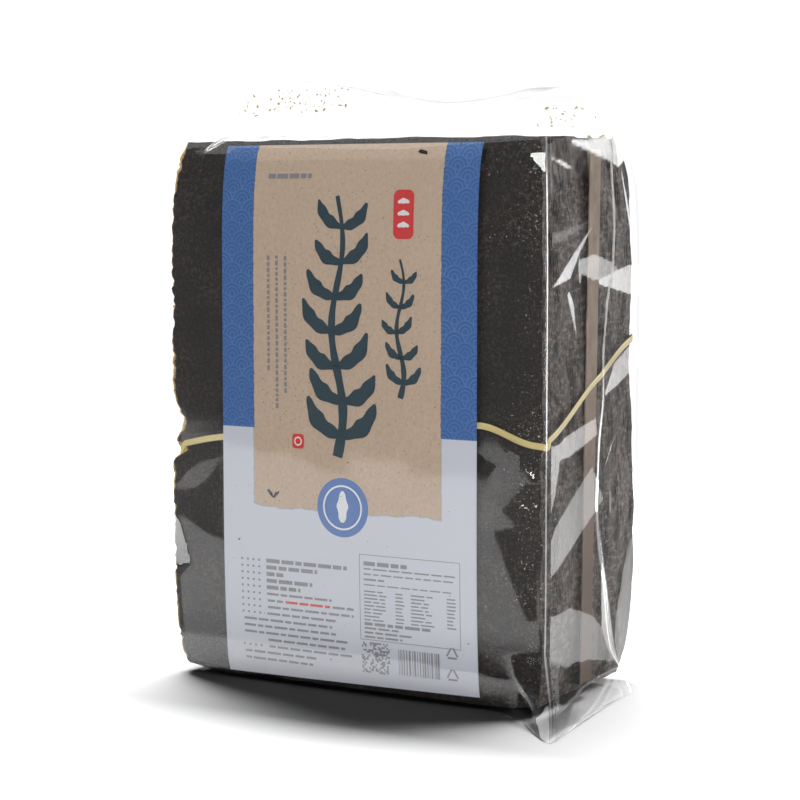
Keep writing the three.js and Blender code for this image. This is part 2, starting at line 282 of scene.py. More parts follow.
# How the edges stand out low at the back right, and draw in towards the floor and the top
BULGE = 2.6 * MM
BULGE_Z = 75 * MM
BULGE_SPAN = 55 * MM
BULGE_Y = 30 * MM
ENDS_IN = 5 * MM
ENDS_POWER = 8
SIDE_POWER = 4

# The card between the bundles
CARD_SEED = 31
CARD_ROWS = 60
CARD_SPAN = (9 * MM, 265 * MM)
CARD_WEAR = 0.25 * MM
CARD_HALF = 0.3 * MM
CARD_INSET = 6 * MM
CARD_LEAN = 7.5 * MM
CARD_UPRIGHT = 0.4

# The label's fields and the wave scales on its strips
LABEL_GRID = (81, 25)
LABEL_THICK = 0.25 * MM
STRIP_WIDTH = 18.9 * MM
STRIP_FOOT = (128.7 * MM, 129.0 * MM)
KRAFT_FOOT = 90.3 * MM
KRAFT_TEAR = 7 * MM
KRAFT_FRAY = 1.6 * MM
KRAFT_CLOUD = (0.50, 0.36, 0.26)
TEAR_SHADOW = (0.12, 0.10, 0.10)
SCALE_RADIUS = 5.7 * MM
SCALE_PITCH = 0.9
SCALE_RINGS = 3.0
SCALE_LINE = 0.66

# The print on the label, in millimetres. Plants: place across, foot, top, stem's width, sway, pairs of
# leaves and their reach. Plates: left, right, foot, top and corner radius. Rings: middle, radius, width
# and sides. Leaves of the seal: left, right, height of the lowest and pitch.
PLANTS = ((-7, 117, 243, 5.4, 3.2, 7, 19.5), (28, 147, 213, 3.0, 2.0, 5, 9.5))
STEM_STATIONS = 60
STEM_TURNS = 9.5
LEAF_STATIONS = 19
PLATE_STATIONS = 33
SEALS = ((24.0, 35.0, 222.6, 245.8, 3), (-33, -26.2, 119.8, 127, 1.6))
BADGE = (-18.6, 10.2, 77.8, 106.8, 14.3)
WHITE_RINGS = ((-4.2, 92.3, 10.6, 0.9, 40), (-29.6, 123.4, 1.9, 0.7, 20))
BADGE_LEAF = ((-4.2, 85), (-4.2, 100.5), 5.6, 0.0, 0.0)
SEAL_LEAVES = (26.4, 32.6, 228.6, 5.6)
TRIANGLES = ((55.3, 26.0), (55.3, 15.4))
TRIANGLE_RADIUS = 3.9
PRINT_OUT = 0.1 * MM
PRINT_OVER = 0.08 * MM
PRINT_THICK = 0.05 * MM

# Rows of bars, in millimetres. Low left: start, length and dots before each row.
PRINT_SEED = 41
ROWS_TOP = 62.6
ROWS_PITCH = 3.35
BIG_ROWS = 5
BIG_HEIGHT = 1.9
ROW_HEIGHT = 1.15
DOT_SIZE = (1.2, 1.0)
DOTS_X = -63.5
DOTS_PITCH = 3.4
LOW_ROWS = (
    *((-49, length, 4) for length in (47, 30, 10, 27, 20, 38)),
    *((-48.5, length, 4) for length in (9, 50)),
    (-49, 40, 4),
    *((-63, length, 0) for length in (52, 54, 62)),
    (-49, 45, 0),
    (-48.5, 50, 4),
    *((-63, length, 0) for length in (42, 40)),
)
RED_ROW = 6
UPRIGHT_TOP = 214.0
UPRIGHT_WIDTH = 1.5
UPRIGHT_GAP = 0.9
UPRIGHT_ROWS = ((-46.7, 55), (-41.8, 74), (-36.8, 66))
# The framed table: rows over it with length and height, columns with place and length, rows below it, the
# top and pitch of each kind, and the middle, width and height of each edge of its frame
TABLE_X = 7.5
TABLE_HEAD = ((26, 2.0), (50, 0.7), (50, 0.7), (13, 0.9), (50, 0.6))
TABLE_COLUMNS = ((7.5, 14), (25, 5), (33.5, 14), (53, 5))
TABLE_ROWS = 9
HEAD_Z = (66, 2.6)
COLUMN_Z = (52.4, 1.75)
FOOT_Z = (36.4, 2.15)
TABLE_FOOT = ((38, 1.5), (19, 0.9), (27, 0.9), (21, 0.9))
FRAME_EDGES = (
    (32.6, 70.3, 55, 0.3),
    (32.6, 28.5, 55, 0.3),
    (5.2, 49.4, 0.3, 41.8),
    (60.0, 49.4, 0.3, 41.8),
)
FRAME_BARS = 10
# The square of small cells and the block of upright lines
CELLS = 17
CELL_CORNER = (6.0, 12.5)
CELL_SIZE = (0.92, 0.9)
CELL_SHARE = 0.45
LINES_SPAN = (26.0, 48)
LINE_WIDTHS = (0.35, 0.6, 0.9)
LINE_GAPS = (0.4, 0.65, 0.9)
LINE_BARS = 3
LINE_BAR = 4.2
LINE_LOW = 14.9

# Crumbs on the label, of which the first three have places of their own, and crumbs under the film's ridge
CRUMB_SEED = 51
LABEL_CRUMBS = 90
CRUMB_OUT = 0.22 * MM
FIRST_CRUMBS_X = (-45.8, -42.6, 38)
FIRST_CRUMBS_Z = (96.6, 96.3, 263)
FIRST_CRUMB = 5 * MM
VEE_TURNS = (49, -45)
VEE_SIZE = (5.6, 1.2, 1.7)
TOP_SPOTS = ((-90, 4, 16), (-70, 8, 30), (-46, 8, 36), (88, 6, 22))
LEFT_CRUMBS = 82
RIGHT_CRUMBS = 22
CORNER_CRUMBS = 12
CORNER_Z = 271
CRUMB_SHAPE = (1.0, 0.5, 0.6)
TOP_SHAPE = (1.0, 0.9, 0.6)

# Frayed flakes at both sides, and golden shreds along the left edge
FRAY_SEED = 61
FRAYS_RIGHT = 320
FRAYS_LEFT = 420
FRINGE = 420
FRAY_SHAPE = (0.7, 0.25, 1.0)
FRINGE_SHAPE = (0.6, 0.4, 1.0)

# The stage, in metres. Lamps: place, aim, size, brightness, and whether each lights only the floor
# (INCLUDE), all but the floor (EXCLUDE) or everything (None). The glint lamp shows only in reflections.
FLOOR_SIDE = 1.6
FLOOR_NEAR = -0.85
FLOOR_FAR = 0.9
FLOOR_BOUNCE = 0.2
LAMPS = {
    "key": ((-0.5, 0.85, 2.8), (-0.5, 0.0, 0.0), (3.2, 0.7), 235.0, "INCLUDE"),
    "back right": ((0.88, 0.91, 0.56), (0.1, 0.0, 0.13), (0.95, 0.5), 5.0, None),
    "front right": ((0.85, -1.35, 0.16), (0.0, -0.05, 0.14), (0.9, 0.26), 16.0, "EXCLUDE"),
    "front top": ((-0.9, -0.75, 1.6), (0.0, -0.05, 0.2), (1.0, 1.0), 4.4, "EXCLUDE"),
}
GLINT_LAMP = "back right"
SKY_BEHIND = 1.15
SKY_ABOVE = 0.12
SKY_LEAST = 0.05
CAMERA_PLACE = (0.5269, -0.9256, 0.2394)
CAMERA_DOWN = 5.29
CAMERA_ROUND = 29.75
CAMERA_LENS = 95.55
CAMERA_SENSOR = 36.0
WHITE = (1.0, 1.0, 1.0)


def number(label, text, default):
    """A size that a user may change."""
    return FloatProperty(name=label, description=text, default=default, unit="LENGTH")


def colour(label, text, default):
    """A colour that a user may change."""
    return FloatVectorProperty(
        name=label, description=text, default=default, subtype="COLOR", min=0.0, max=1.0
    )


class PackSizes(bpy.types.PropertyGroup):
    """The sizes of the pack."""

    bag_width: number("Bag width", "Width of the filled bag", 210 * MM)
    bag_depth: number("Bag depth", "Depth of the filled bag", 104 * MM)
    block_height: number("Block height", "Height of the block of sheets", 270 * MM)
    sheet_left: number("Sheet left", "Left edge of the sheets", -106 * MM)
    sheet_right: number("Sheet right", "Right edge of the sheets", 101.6 * MM)
    sheet_bottom: number("Sheet bottom", "Bottom edge of the sheets", 1.6 * MM)
    sheet_top: number("Sheet top", "Top edge of the sheets", 270.2 * MM)
    sheet_thick: number("Sheet thickness", "Thickness of one folded sheet", 1.07 * MM)
    sheet_count: IntProperty(
        name="Sheets", description="Sheets in each of the two bundles", default=50, min=1
    )
    divider_y: number("Divider place", "Where the card between the bundles stands", 4 * MM)
    divider_room: number("Divider room", "From the card to the bundle on each side", 0.7 * MM)
    divider_right: number("Divider right", "Right edge of the card", 103.7 * MM)
    divider_flap: number("Divider flap", "Width of the card's folded edge", 11.5 * MM)
    label_left: number("Label left", "Left edge of the label", -74.4 * MM)
    label_right: number("Label right", "Right edge of the label", 68.8 * MM)
    label_bottom: number("Label bottom", "Bottom edge of the label at the left", 4 * MM)
    label_slant: number("Label slant", "Rise of the label's bottom edge to the right", 2.2 * MM)
    label_top: number("Label top", "Top edge of the label", 267.5 * MM)
    label_out: number("Label stand-off", "From the bag's front to the label's face", 0.6 * MM)
    tie_width: number("Tie width", "Width of the straw", 3.2 * MM)
    tie_thick: number("Tie thickness", "Thickness of the straw", 0.85 * MM)
    film_gap: number("Film gap", "From the block to the film", 0.6 * MM)
    film_left: number("Film left", "More gap at the ragged left edges", 2.2 * MM)
    film_over_label: number("Film over label", "More gap where the film covers the label", 0.7 * MM)


class PackColours(bpy.types.PropertyGroup):
    """The colours of the pack."""

    nori: colour("Nori", "Dark green-black of a sheet", (0.010, 0.0095, 0.009))
    nori_light: colour("Nori light", "Thin places of a sheet", (0.098, 0.077, 0.063))
    nori_side: colour("Nori side", "Cut edges of the sheets", (0.175, 0.122, 0.094))
    nori_red: colour("Nori red", "Reddish places of a sheet", (0.11, 0.052, 0.040))
    # Golden rim: painted light shining through the thin edges of a sheet.
    nori_backlit_rim: colour("Nori edge", "Thin golden rim of a sheet", (0.72, 0.50, 0.20))
    # Pale flecks of the sheet, also used as painted glints near the crease.
    fleck_and_glint: colour("Fleck", "Pale flecks in a sheet", (0.72, 0.64, 0.56))
    kraft: colour("Kraft", "Brown middle of the label", (0.72, 0.56, 0.425))
    paper: colour("Paper", "White foot of the label", (0.72, 0.745, 0.82))
    strip: colour("Strip", "Blue side strips of the label", (0.062, 0.162, 0.43))
    scale_line: colour("Scale line", "Lines of the wave scales", (0.125, 0.24, 0.49))
    ink_teal: colour("Teal ink", "The plants on the label", (0.016, 0.040, 0.055))
    ink_grey: colour("Grey ink", "The small bars on the label", (0.24, 0.24, 0.26))
    ink_red: colour("Red ink", "Seals on the label", (0.62, 0.045, 0.045))
    ink_white: colour("White ink", "Marks on seals and badge", (0.82, 0.82, 0.84))
    straw: colour("Straw", "The tie", (0.70, 0.54, 0.20))
    straw_pale: colour("Pale straw", "Worn fibres of the tie", (0.95, 0.82, 0.42))
    card: colour("Card", "The card between the bundles", (0.35, 0.265, 0.20))
    # Its mottled tone, and painted shade low on the card.
    card_shade_and_mottle: colour("Low card", "Worn and low places of the card", (0.13, 0.085, 0.062))
    crumb: colour("Crumb", "Golden crumbs in the film", (0.58, 0.46, 0.13))
    floor: colour("Floor", "The studio floor", (0.12, 0.12, 0.12))


def ease(value, low, high):
    """0 below low and 1 above high, evenly in between."""
    return np.clip((value - low) / (high - low), 0, 1)


def bell(distance, reach):
    """1 in the middle, falling smoothly to both sides."""
    return np.exp(-((distance / reach) ** 2))


def tent(distance, reach):
    """1 at a crease, falling evenly to 0 at its reach."""
    return np.clip(1 - np.abs(distance) / reach, 0, None)


def columns(*values):
    """Arrays side by side, as the columns of a table."""
    return np.stack(values, axis=1)


def from_middle(s, z):
    """How far a height is from the middle of the block: 0 at the middle, 1 at both ends."""
    return np.minimum(1.0, np.abs(2 * z / s.block_height - 1))


def base_share(z):
    """How much a height takes part in the rounding of the base."""
    return np.clip(1 - z / BASE_ROUND, 0, None) ** 2


def rounding(s, z):
    """How far the faces draw in at the rounded base and top."""
    top = np.clip(1 - (s.block_height - z) / TOP_ROUND, 0, None) ** 2
    return BASE_INSET * base_share(z) + TOP_INSET * top


def half_depth(s, z):
    """Half of the bag's depth at a height."""
    low = z < s.block_height / 2
    bow = np.where(low, FACE_BOW_BASE, FACE_BOW_TOP)
    power = np.where(low, BOW_POWER_BASE, BOW_POWER_TOP)
    return s.bag_depth / 2 - bow * from_middle(s, z) ** power - rounding(s, z)


def half_width(s, z):
    """Half of the bag's width at a height."""
    return s.bag_width / 2 - SIDE_TAPER * from_middle(s, z) ** TAPER_POWER - rounding(s, z)


def front_y(s, x, z):
    """The Y of the front face."""
    return FACE_CROWN * (2 * x / s.bag_width) ** 2 - half_depth(s, z)


def fold_out(s, z, middle):
    """How far the fold line stands out from the side it runs down."""
    return middle + (FOLD_END - middle) * from_middle(s, z) ** FOLD_POWER


def plan_ring(s, z, shares, fold_y, fold_mid, edge=EDGE_RADIUS):
    """The plan of the bag at heights z (a column): one row of places for each height."""
    w, d = half_width(s, z), half_depth(s, z)
    soft = edge + BASE_CORNER * base_share(z)
    crease = CREASE_RADIUS
    fold_x = w + fold_out(s, z, fold_mid)

    def line(start, end, t):
        return start[0] + (end[0] - start[0]) * t, start[1] + (end[1] - start[1]) * t

    def arc(cx, cy, radius, start, t):
        angle = start + t * QUARTER
        return cx + radius * np.cos(angle), cy + radius * np.sin(angle)

    def face(start, end, side, t):
        x = start + (end - start) * t
        reach = np.maximum(np.abs(start), np.abs(end))
        return x, side * (d - FACE_CROWN * (x / reach) ** 2)

    near, far = FACE_CROWN - d, d - FACE_CROWN
    places = (
        line((-fold_x, FOLD_Y), (-w, soft + near), shares[0]),
        arc(soft - w, soft + near, soft, 2 * QUARTER, shares[1]),
        face(soft - w, w - crease, -1, shares[2]),
        arc(w - crease, crease + near, crease, 3 * QUARTER, shares[3]),
        line((w, crease + near), (fold_x, fold_y), shares[4]),
        line((fold_x, fold_y), (w, far - soft), shares[5]),
        arc(w - soft, far - soft, soft, 0, shares[6]),
        face(w - soft, soft - w, 1, shares[7]),
        arc(soft - w, far - soft, soft, QUARTER, shares[8]),
        line((-w, far - soft), (-fold_x, FOLD_Y), shares[9]),
    )
    x = np.concatenate([np.broadcast_to(p[0], (len(z), p[0].shape[1])) for p in places], axis=1)
    y = np.concatenate([np.broadcast_to(p[1], (len(z), p[1].shape[1])) for p in places], axis=1)
    return x, y


def new_object(name, points, edges=(), faces=()):
    """An object in the scene, with its place in its mesh."""
    mesh = bpy.data.meshes.new(name)
    mesh.from_pydata([tuple(p) for p in points], list(edges), [tuple(f) for f in faces])
    made = bpy.data.objects.new(name, mesh)
    bpy.context.scene.collection.objects.link(made)
    return made


def mesh_piece(name, points, faces, material=None, smooth=False):
    """A piece from arrays of points and faces."""
    piece = new_object(name, points, faces=faces)
    mesh = piece.data
    mesh.validate()
    mesh.polygons.foreach_set("use_smooth", [smooth] * len(mesh.polygons))
    if material is not None:
        mesh.materials.append(material)
    return piece


def mark_points(piece, name, values):
    """Stores a number or a vector for each point of a piece."""
    vector = values.ndim > 1
    attribute = piece.data.attributes.new(name, "FLOAT_VECTOR" if vector else "FLOAT", "POINT")
    attribute.data.foreach_set("vector" if vector else "value", values.ravel())


def hand_over(piece, node):
    """The piece rides on the pack's body, and the solid it stands for is hidden."""
    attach(piece, BODY)
    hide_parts(node)


def join_meshes(parts):
    """Points and faces of several meshes as one."""
    points, faces, first = [], [], 0
    for some, few in parts:
        points.append(np.asarray(some))
        faces += [tuple(first + i for i in face) for face in few]
        first += len(some)
    return np.concatenate(points), faces


def ring_faces(rows, count):
    """The faces of a stack of closed rings, outward for anticlockwise rings that go up."""
    faces = []
    for k in range(rows - 1):
        for i in range(count):
            a, b = k * count + i, k * count + (i + 1) % count
            faces.append((a, b, b + count, a + count))
    return faces


def cap_faces(first, count, upward):
    """Faces straight across a closed ring from its first place to the opposite one."""
    faces = []
    for i in range(count // 2):
        corners = [i, i + 1, (count - i - 1) % count, (count - i) % count]
        face = [first + c for c in dict.fromkeys(corners)]
        if len(face) > 2:
            faces.append(tuple(face if upward else face[::-1]))
    return faces


class Nodes:
    """Makes and links the nodes of one tree. A value is a plain one or another node's socket."""

    def __init__(self, tree):
        self.tree = tree

    def put(self, socket, value):
        """Links a socket to another, or sets its plain value."""
        if isinstance(value, bpy.types.NodeSocket):
            self.tree.links.new(value, socket)
        elif hasattr(socket.default_value, "__len__") and len(value) < len(socket.default_value):
            socket.default_value = (*value, 1.0)
        else:
            socket.default_value = value

    def add(self, kind, *values, named=None, out=0, **settings):
        """An output of a new node with its settings, and its inputs in order or by name."""
        node = self.tree.nodes.new(kind)
        for key, setting in settings.items():
            setattr(node, key, setting)
        for key, value in (*enumerate(values), *(named or {}).items()):
            self.put(node.inputs[key], value)
        return node.outputs[out]

    def math(self, operation, *values):
        """The result of a Math node."""
        return self.add("ShaderNodeMath", *values, operation=operation)

    def plus(self, first, second):
        """The sum of two values."""
        return self.math("ADD", first, second)

    def minus(self, first, second):
        """The difference of two values."""
        return self.math("SUBTRACT", first, second)

    def times(self, first, second):
        """The product of two values."""
        return self.math("MULTIPLY", first, second)

    def ramp(self, value, low, high):
        """0 below low and 1 above high, evenly in between."""
        return self.add("ShaderNodeMapRange", value, low, high)

    def mix(self, share, first, second):
        """A colour between two, by a share."""
        return self.add("ShaderNodeMix", named={0: share, 6: first, 7: second}, out=2, data_type="RGBA")

    def noise(self, place, scale, detail=3.0, rough=0.5):
        """A noise value from a place."""
        named = {"Vector": place, "Scale": scale, "Detail": detail, "Roughness": rough}
        return self.add("ShaderNodeTexNoise", named=named, out="Fac")

    def scaled(self, place, factors):
        """A place stretched along its axes."""
        return self.add("ShaderNodeMapping", place, named={"Scale": factors})

    def part(self, vector, axis):
        """One part of a vector."""
        return self.add("ShaderNodeSeparateXYZ", vector, out=axis)

    def stored(self, name, out="Fac"):
        """A value that the piece's points carry, for a shader."""
        return self.add("ShaderNodeAttribute", out=out, attribute_name=name)


class Finish(Nodes):
    """The nodes of a new material with a Principled shader."""

    def __init__(self, name):
        self.material = bpy.data.materials.new(name)
        self.material.use_nodes = True
        super().__init__(self.material.node_tree)
        self.shader = self.tree.nodes["Principled BSDF"]

    def place(self):
        """Places in the piece's own coordinates."""
        return self.add("ShaderNodeTexCoord", out="Object")

    def bump(self, height, distance, strength):
        """Small relief on the shader."""
        named = {"Height": height, "Distance": distance, "Strength": strength}
        self.put(self.shader.inputs["Normal"], self.add("ShaderNodeBump", named=named))

    def paint(self, base, rough, shine=0.5):
        """The material, once its shader has a colour, a roughness and a shine."""
        for name, value in (("Base Color", base), ("Roughness", rough), ("Specular IOR Level", shine)):
            self.put(self.shader.inputs[name], value)
        return self.material

    def show(self, share, first, second):
        """The material, once it shows a mix of two shaders."""
        mixed = self.add("ShaderNodeMixShader", share, first, second)
        self.put(self.tree.nodes["Material Output"].inputs["Surface"], mixed)
        return self.material


class Group(Nodes):
    """The nodes of a new group or geometry tree with named inputs and one output."""

    def __init__(self, name, kind, inputs, output):
        super().__init__(bpy.data.node_groups.new(name, kind))
        for way, sockets in (("INPUT", inputs), ("OUTPUT", output)):
            for label, socket in sockets.items():
                self.tree.interface.new_socket(label, in_out=way, socket_type=f"NodeSocket{socket}")
        self.start = self.tree.nodes.new("NodeGroupInput").outputs
        self.end = self.tree.nodes.new("NodeGroupOutput").inputs[0]

    def finish(self, value):
        """The tree, once it puts out a value."""
        self.put(self.end, value)
        return self.tree

    def dress(self, shape):
        """The geometry tree, once it puts out a real mesh with its material."""
        real = self.add("GeometryNodeRealizeInstances", shape)
        named = {"Material": self.start["Material"]}
        return self.finish(self.add("GeometryNodeSetMaterial", real, named=named))

    def vector(self, name):
        """A vector that the points carry, for a geometry tree."""
        named = {"Name": name}
        return self.add("GeometryNodeInputNamedAttribute", named=named, data_type="FLOAT_VECTOR")


def fleck_group():
    """A shader group that puts out a mask of scattered flecks."""
    inputs = {"Place": "Vector", "Scale": "Float", "Share": "Float"}
    g = Group("Flecks", "ShaderNodeTree", inputs, {"Mask": "Float"})
    cells = g.tree.nodes.new("ShaderNodeTexVoronoi")
    for name, value in (("Vector", g.start["Place"]), ("Scale", g.start["Scale"])):
        g.put(cells.inputs[name], value)
    chance, size = (g.add("ShaderNodeSeparateColor", cells.outputs["Color"], out=k) for k in range(2))
    chosen = g.math("LESS_THAN", chance, g.start["Share"])
    core = g.math("LESS_THAN", cells.outputs["Distance"], g.times(size, 0.45))
    return g.finish(g.times(chosen, core))


def scale_group():
    """A shader group that puts out the lines of overlapping wave scales."""
    inputs = {"Across": "Float", "Up": "Float", "Radius": "Float"}
    g = Group("Wave scales", "ShaderNodeTree", inputs, {"Line": "Float"})
    x, z = (g.math("DIVIDE", g.start[way], g.start["Radius"]) for way in ("Across", "Up"))
    lowest = g.math("CEIL", g.math("DIVIDE", g.minus(z, 1.0), SCALE_PITCH))
    found, reach = 0.0, 1.0
    for step in range(3):
        row = g.plus(lowest, float(step))
        cell = g.times(g.minus(x, g.math("FLOORED_MODULO", row, 2.0)), 0.5)
        dx = g.times(g.minus(cell, g.math("ROUND", cell)), 2.0)
        dz = g.minus(z, g.times(row, SCALE_PITCH))
        away = g.math("SQRT", g.plus(g.math("POWER", dx, 2.0), g.math("POWER", dz, 2.0)))
        inside = g.math("LESS_THAN", away, 1.0)
        take = g.times(inside, g.minus(1.0, found))
        reach = g.plus(reach, g.times(take, g.minus(away, reach)))
        found = g.math("MAXIMUM", found, inside)
    turns = g.math("FRACT", g.times(reach, SCALE_RINGS))
    return g.finish(g.math("GREATER_THAN", turns, SCALE_LINE))


def darker(shade, share):
    """A share of a colour."""
    return tuple(share * v for v in shade)


def film_material():
    """Clear film: what is behind it shows, and it mirrors more at a slant."""
    f = Finish("Clear film")
    f.tree.nodes.remove(f.shader)
    clear = f.add("ShaderNodeBsdfTransparent", (0.994, 0.994, 0.996))
    free = f.minus(1.0, f.stored("hold"))
    own = f.add("ShaderNodeNewGeometry", out="Normal")
    own = f.add("ShaderNodeVectorMath", own, named={"Scale": free}, operation="SCALE")
    aim = f.add("ShaderNodeVectorMath", own, f.stored("lean", "Vector"), operation="ADD")
    aim = f.add("ShaderNodeVectorMath", aim, operation="NORMALIZE")
    gloss = f.add("ShaderNodeBsdfGlossy", named={"Color": WHITE, "Roughness": 0.05, "Normal": aim})
    slant = f.add("ShaderNodeFresnel", named={"IOR": 1.5, "Normal": aim})
    share = f.times(f.times(slant, 1.4), f.stored("mirror"))
    inside = f.times(f.add("ShaderNodeNewGeometry", out="Backfacing"), 0.8)
    share = f.times(f.math("MINIMUM", share, 1.0), f.minus(1.0, inside))
    return f.show(share, clear, gloss)


def nori_material(c):
    """Dried seaweed: dark and mottled, with reddish and pale flecks and painted glints gathering towards
    the crease, golden and thin at its left rim, where the gold is painted light shining through.
    """
    f = Finish("Nori")
    place = f.place()
    cloud = f.noise(place, scale=560, detail=5, rough=0.75)
    patch = f.noise(place, scale=38, detail=2)
    grain = f.noise(place, scale=1100, detail=4, rough=0.7)
    light = f.times(f.ramp(cloud, 0.48, 0.67), f.ramp(patch, 0.3, 0.7))
    base = f.mix(light, c.nori, c.nori_light)
    facing = f.part(f.add("ShaderNodeNewGeometry", out="True Normal"), "X")
    at_side = f.ramp(f.math("ABSOLUTE", facing), 0.4, 0.6)
    at_left = f.ramp(facing, -0.4, -0.6)
    blotch = f.noise(f.scaled(place, (1, 0.5, 1)), scale=420, detail=4, rough=0.7)
    base = f.mix(f.times(at_side, f.ramp(blotch, 0.48, 0.61)), base, c.nori_side)
    red = f.ramp(f.noise(place, scale=620, detail=4, rough=0.65), 0.57, 0.68)
    base = f.mix(f.times(red, 0.7), base, c.nori_red)
    # Painted glints: pale flecks grow more common towards the crease, where the film glints, and rarer on
    # the cut sides; elsewhere they are the sheet's own flecks.
    glints_near_crease = f.times(f.ramp(f.part(place, "X"), 50 * MM, 98 * MM), 0.10)
    glints_near_crease = f.minus(glints_near_crease, f.times(at_side, 0.025))
    for scale, low in ((900, 0.825), (330, 0.855)):
        chance = f.plus(f.noise(place, scale, rough=0.75), glints_near_crease)
        chance = f.plus(chance, f.times(patch, 0.16))
        base = f.mix(f.ramp(chance, low, low + 0.04), base, c.fleck_and_glint)
    # Golden rim: painted light shining through the thin left edges, mostly left off the faces that look to
    # the left.
    worn = f.plus(f.stored("rim"), f.times(grain, 0.9))
    worn = f.plus(worn, f.times(f.noise(place, scale=75, detail=2), 1.6))
    worn = f.times(f.ramp(worn, 2.02, 2.28), f.minus(1.0, f.times(at_left, 0.88)))
    f.bump(f.plus(f.times(cloud, 2.0), grain), 0.35 * MM, 0.8)
    return f.paint(f.mix(worn, base, c.nori_backlit_rim), f.ramp(grain, -0.6, 1.3), 0.35)


def ink(name, shade):
    """A plain printing ink with the paper's grain in it."""
    f = Finish(name)
    worn = f.ramp(f.noise(f.place(), scale=2500, detail=2), 0.2, 0.9)
    pale = tuple(min(1.0, v * 1.35 + 0.01) for v in shade)
    return f.paint(f.mix(worn, shade, pale), rough=0.6)


def label_material(s, c):
    """The label's paper: blue strips with wave scales, a torn kraft middle and a white foot."""
    f = Finish("Label paper")
    place = f.place()
    x, z = f.part(place, "X"), f.part(place, "Z")
    fray = f.times(f.minus(f.noise(place, scale=700, rough=0.6), 0.5), KRAFT_FRAY)
    slow = f.noise(f.scaled(place, (1, 0, 0)), scale=42, detail=2)
    tear = f.times(f.minus(slow, 0.5), KRAFT_TEAR)
    frayed = f.plus(x, fray)
    left = f.minus(frayed, s.label_left + STRIP_WIDTH)
    right = f.minus(s.label_right - STRIP_WIDTH, frayed)
    foot = f.minus(z, f.plus(KRAFT_FOOT, f.plus(tear, fray)))
    inner = f.math("MINIMUM", f.math("MINIMUM", left, right), foot)
    on_kraft = f.ramp(inner, -0.05 * MM, 0.05 * MM)
    shadow = f.times(f.ramp(inner, -0.9 * MM, -0.1 * MM), 0.45)
    named = {"Across": x, "Up": z, "Radius": SCALE_RADIUS}
    scales = f.add("ShaderNodeGroup", named=named, node_tree=scale_group())
    worn = f.times(scales, f.ramp(f.noise(place, scale=60), 0.0, 0.7))
    strip = f.mix(worn, c.strip, c.scale_line)
    fibre = f.noise(f.scaled(place, (1, 1, 0.8)), scale=700, detail=4, rough=0.65)
    kraft = f.mix(f.ramp(fibre, 0.35, 0.7), darker(c.kraft, 0.84), c.kraft)
    named = {"Place": place, "Scale": 900.0, "Share": 0.08}
    flecks = f.add("ShaderNodeGroup", named=named, node_tree=fleck_group())
    kraft = f.mix(flecks, kraft, darker(c.kraft, 0.62))
    cloud = f.ramp(f.noise(place, scale=22, detail=2), 0.25, 0.75)
    kraft = f.mix(f.times(cloud, 0.2), kraft, KRAFT_CLOUD)
    outer = f.mix(f.ramp(z, *STRIP_FOOT), c.paper, strip)
    outer = f.mix(shadow, outer, TEAR_SHADOW)
    f.bump(fibre, 0.05 * MM, 0.5)
    return f.paint(f.mix(on_kraft, outer, kraft), rough=0.55, shine=0.3)


def straw_material(c):
    """Flat straw with fibres along it."""
    f = Finish("Straw")
    along, across = f.times(f.stored("along"), 60.0), f.times(f.stored("across"), 16.0)
    place = f.add("ShaderNodeCombineXYZ", along, across)
    fibre = f.noise(place, scale=1, detail=4, rough=0.6)
    f.bump(fibre, 0.15 * MM, 0.8)
    return f.paint(f.mix(f.ramp(fibre, 0.35, 0.68), c.straw, c.straw_pale), rough=0.38)


def card_material(c):
    """Mottled card, with painted shade that darkens it towards the floor."""
    f = Finish("Divider card")
    place = f.place()
    cloud = f.noise(place, scale=120, detail=4, rough=0.6)
    # Painted shade: the card darkens towards the floor.
    base = f.mix(f.ramp(f.part(place, "Z"), 60 * MM, 160 * MM), c.card_shade_and_mottle, c.card)
    worn = f.times(f.ramp(cloud, 0.35, 0.7), 0.5)
    f.bump(cloud, 0.2 * MM, 0.5)
    return f.paint(f.mix(worn, base, c.card_shade_and_mottle), rough=0.8)


def thin_material(name, shade):
    """Thin dried flakes that light shines through."""
    f = Finish(name)
    cloud = f.ramp(f.noise(f.place(), scale=500, detail=4, rough=0.6), 0.35, 0.65)
    f.paint(f.mix(cloud, darker(shade, 0.35), shade), rough=0.7)
    through = f.add("ShaderNodeBsdfTransparent", tuple(v**0.45 for v in shade))
    return f.show(0.75, f.shader.outputs[0], through)


def floor_material(c):
    """A plain matt floor that throws little light back on the pack."""
    f = Finish("Studio floor")
    bounce = f.add("ShaderNodeLightPath", out="Is Diffuse Ray")
    return f.paint(f.mix(bounce, c.floor, darker(c.floor, FLOOR_BOUNCE)), rough=1.0, shine=0.0)


def points_tree():
    """A geometry tree that puts a shape at each point, turned and sized by the point's attributes."""
    name = "Shapes at points"
    if name in bpy.data.node_groups:
        return bpy.data.node_groups[name]
    inputs = {
        "Points": "Geometry",
        "Shape": "Object",
        "Spread": "Float",
        "Seed": "Int",
        "Material": "Material",
    }
    g = Group(name, "GeometryNodeTree", inputs, {"Shapes": "Geometry"})
    cloud = g.add("GeometryNodeMeshToPoints", g.start["Points"])
    shape = g.add("GeometryNodeObjectInfo", g.start["Shape"], out="Geometry")
    turn = g.add("FunctionNodeEulerToRotation", g.vector("turn"))
    low, high = g.minus(1.0, g.start["Spread"]), g.plus(1.0, g.start["Spread"])
    named = {2: low, 3: high, "Seed": g.start["Seed"]}
    factor = g.add("FunctionNodeRandomValue", named=named, out=1, data_type="FLOAT")
    size = g.add("ShaderNodeVectorMath", g.vector("size"), named={"Scale": factor}, operation="SCALE")
    named = {"Instance": shape, "Rotation": turn, "Scale": size}
    return g.dress(g.add("GeometryNodeInstanceOnPoints", cloud, named=named))


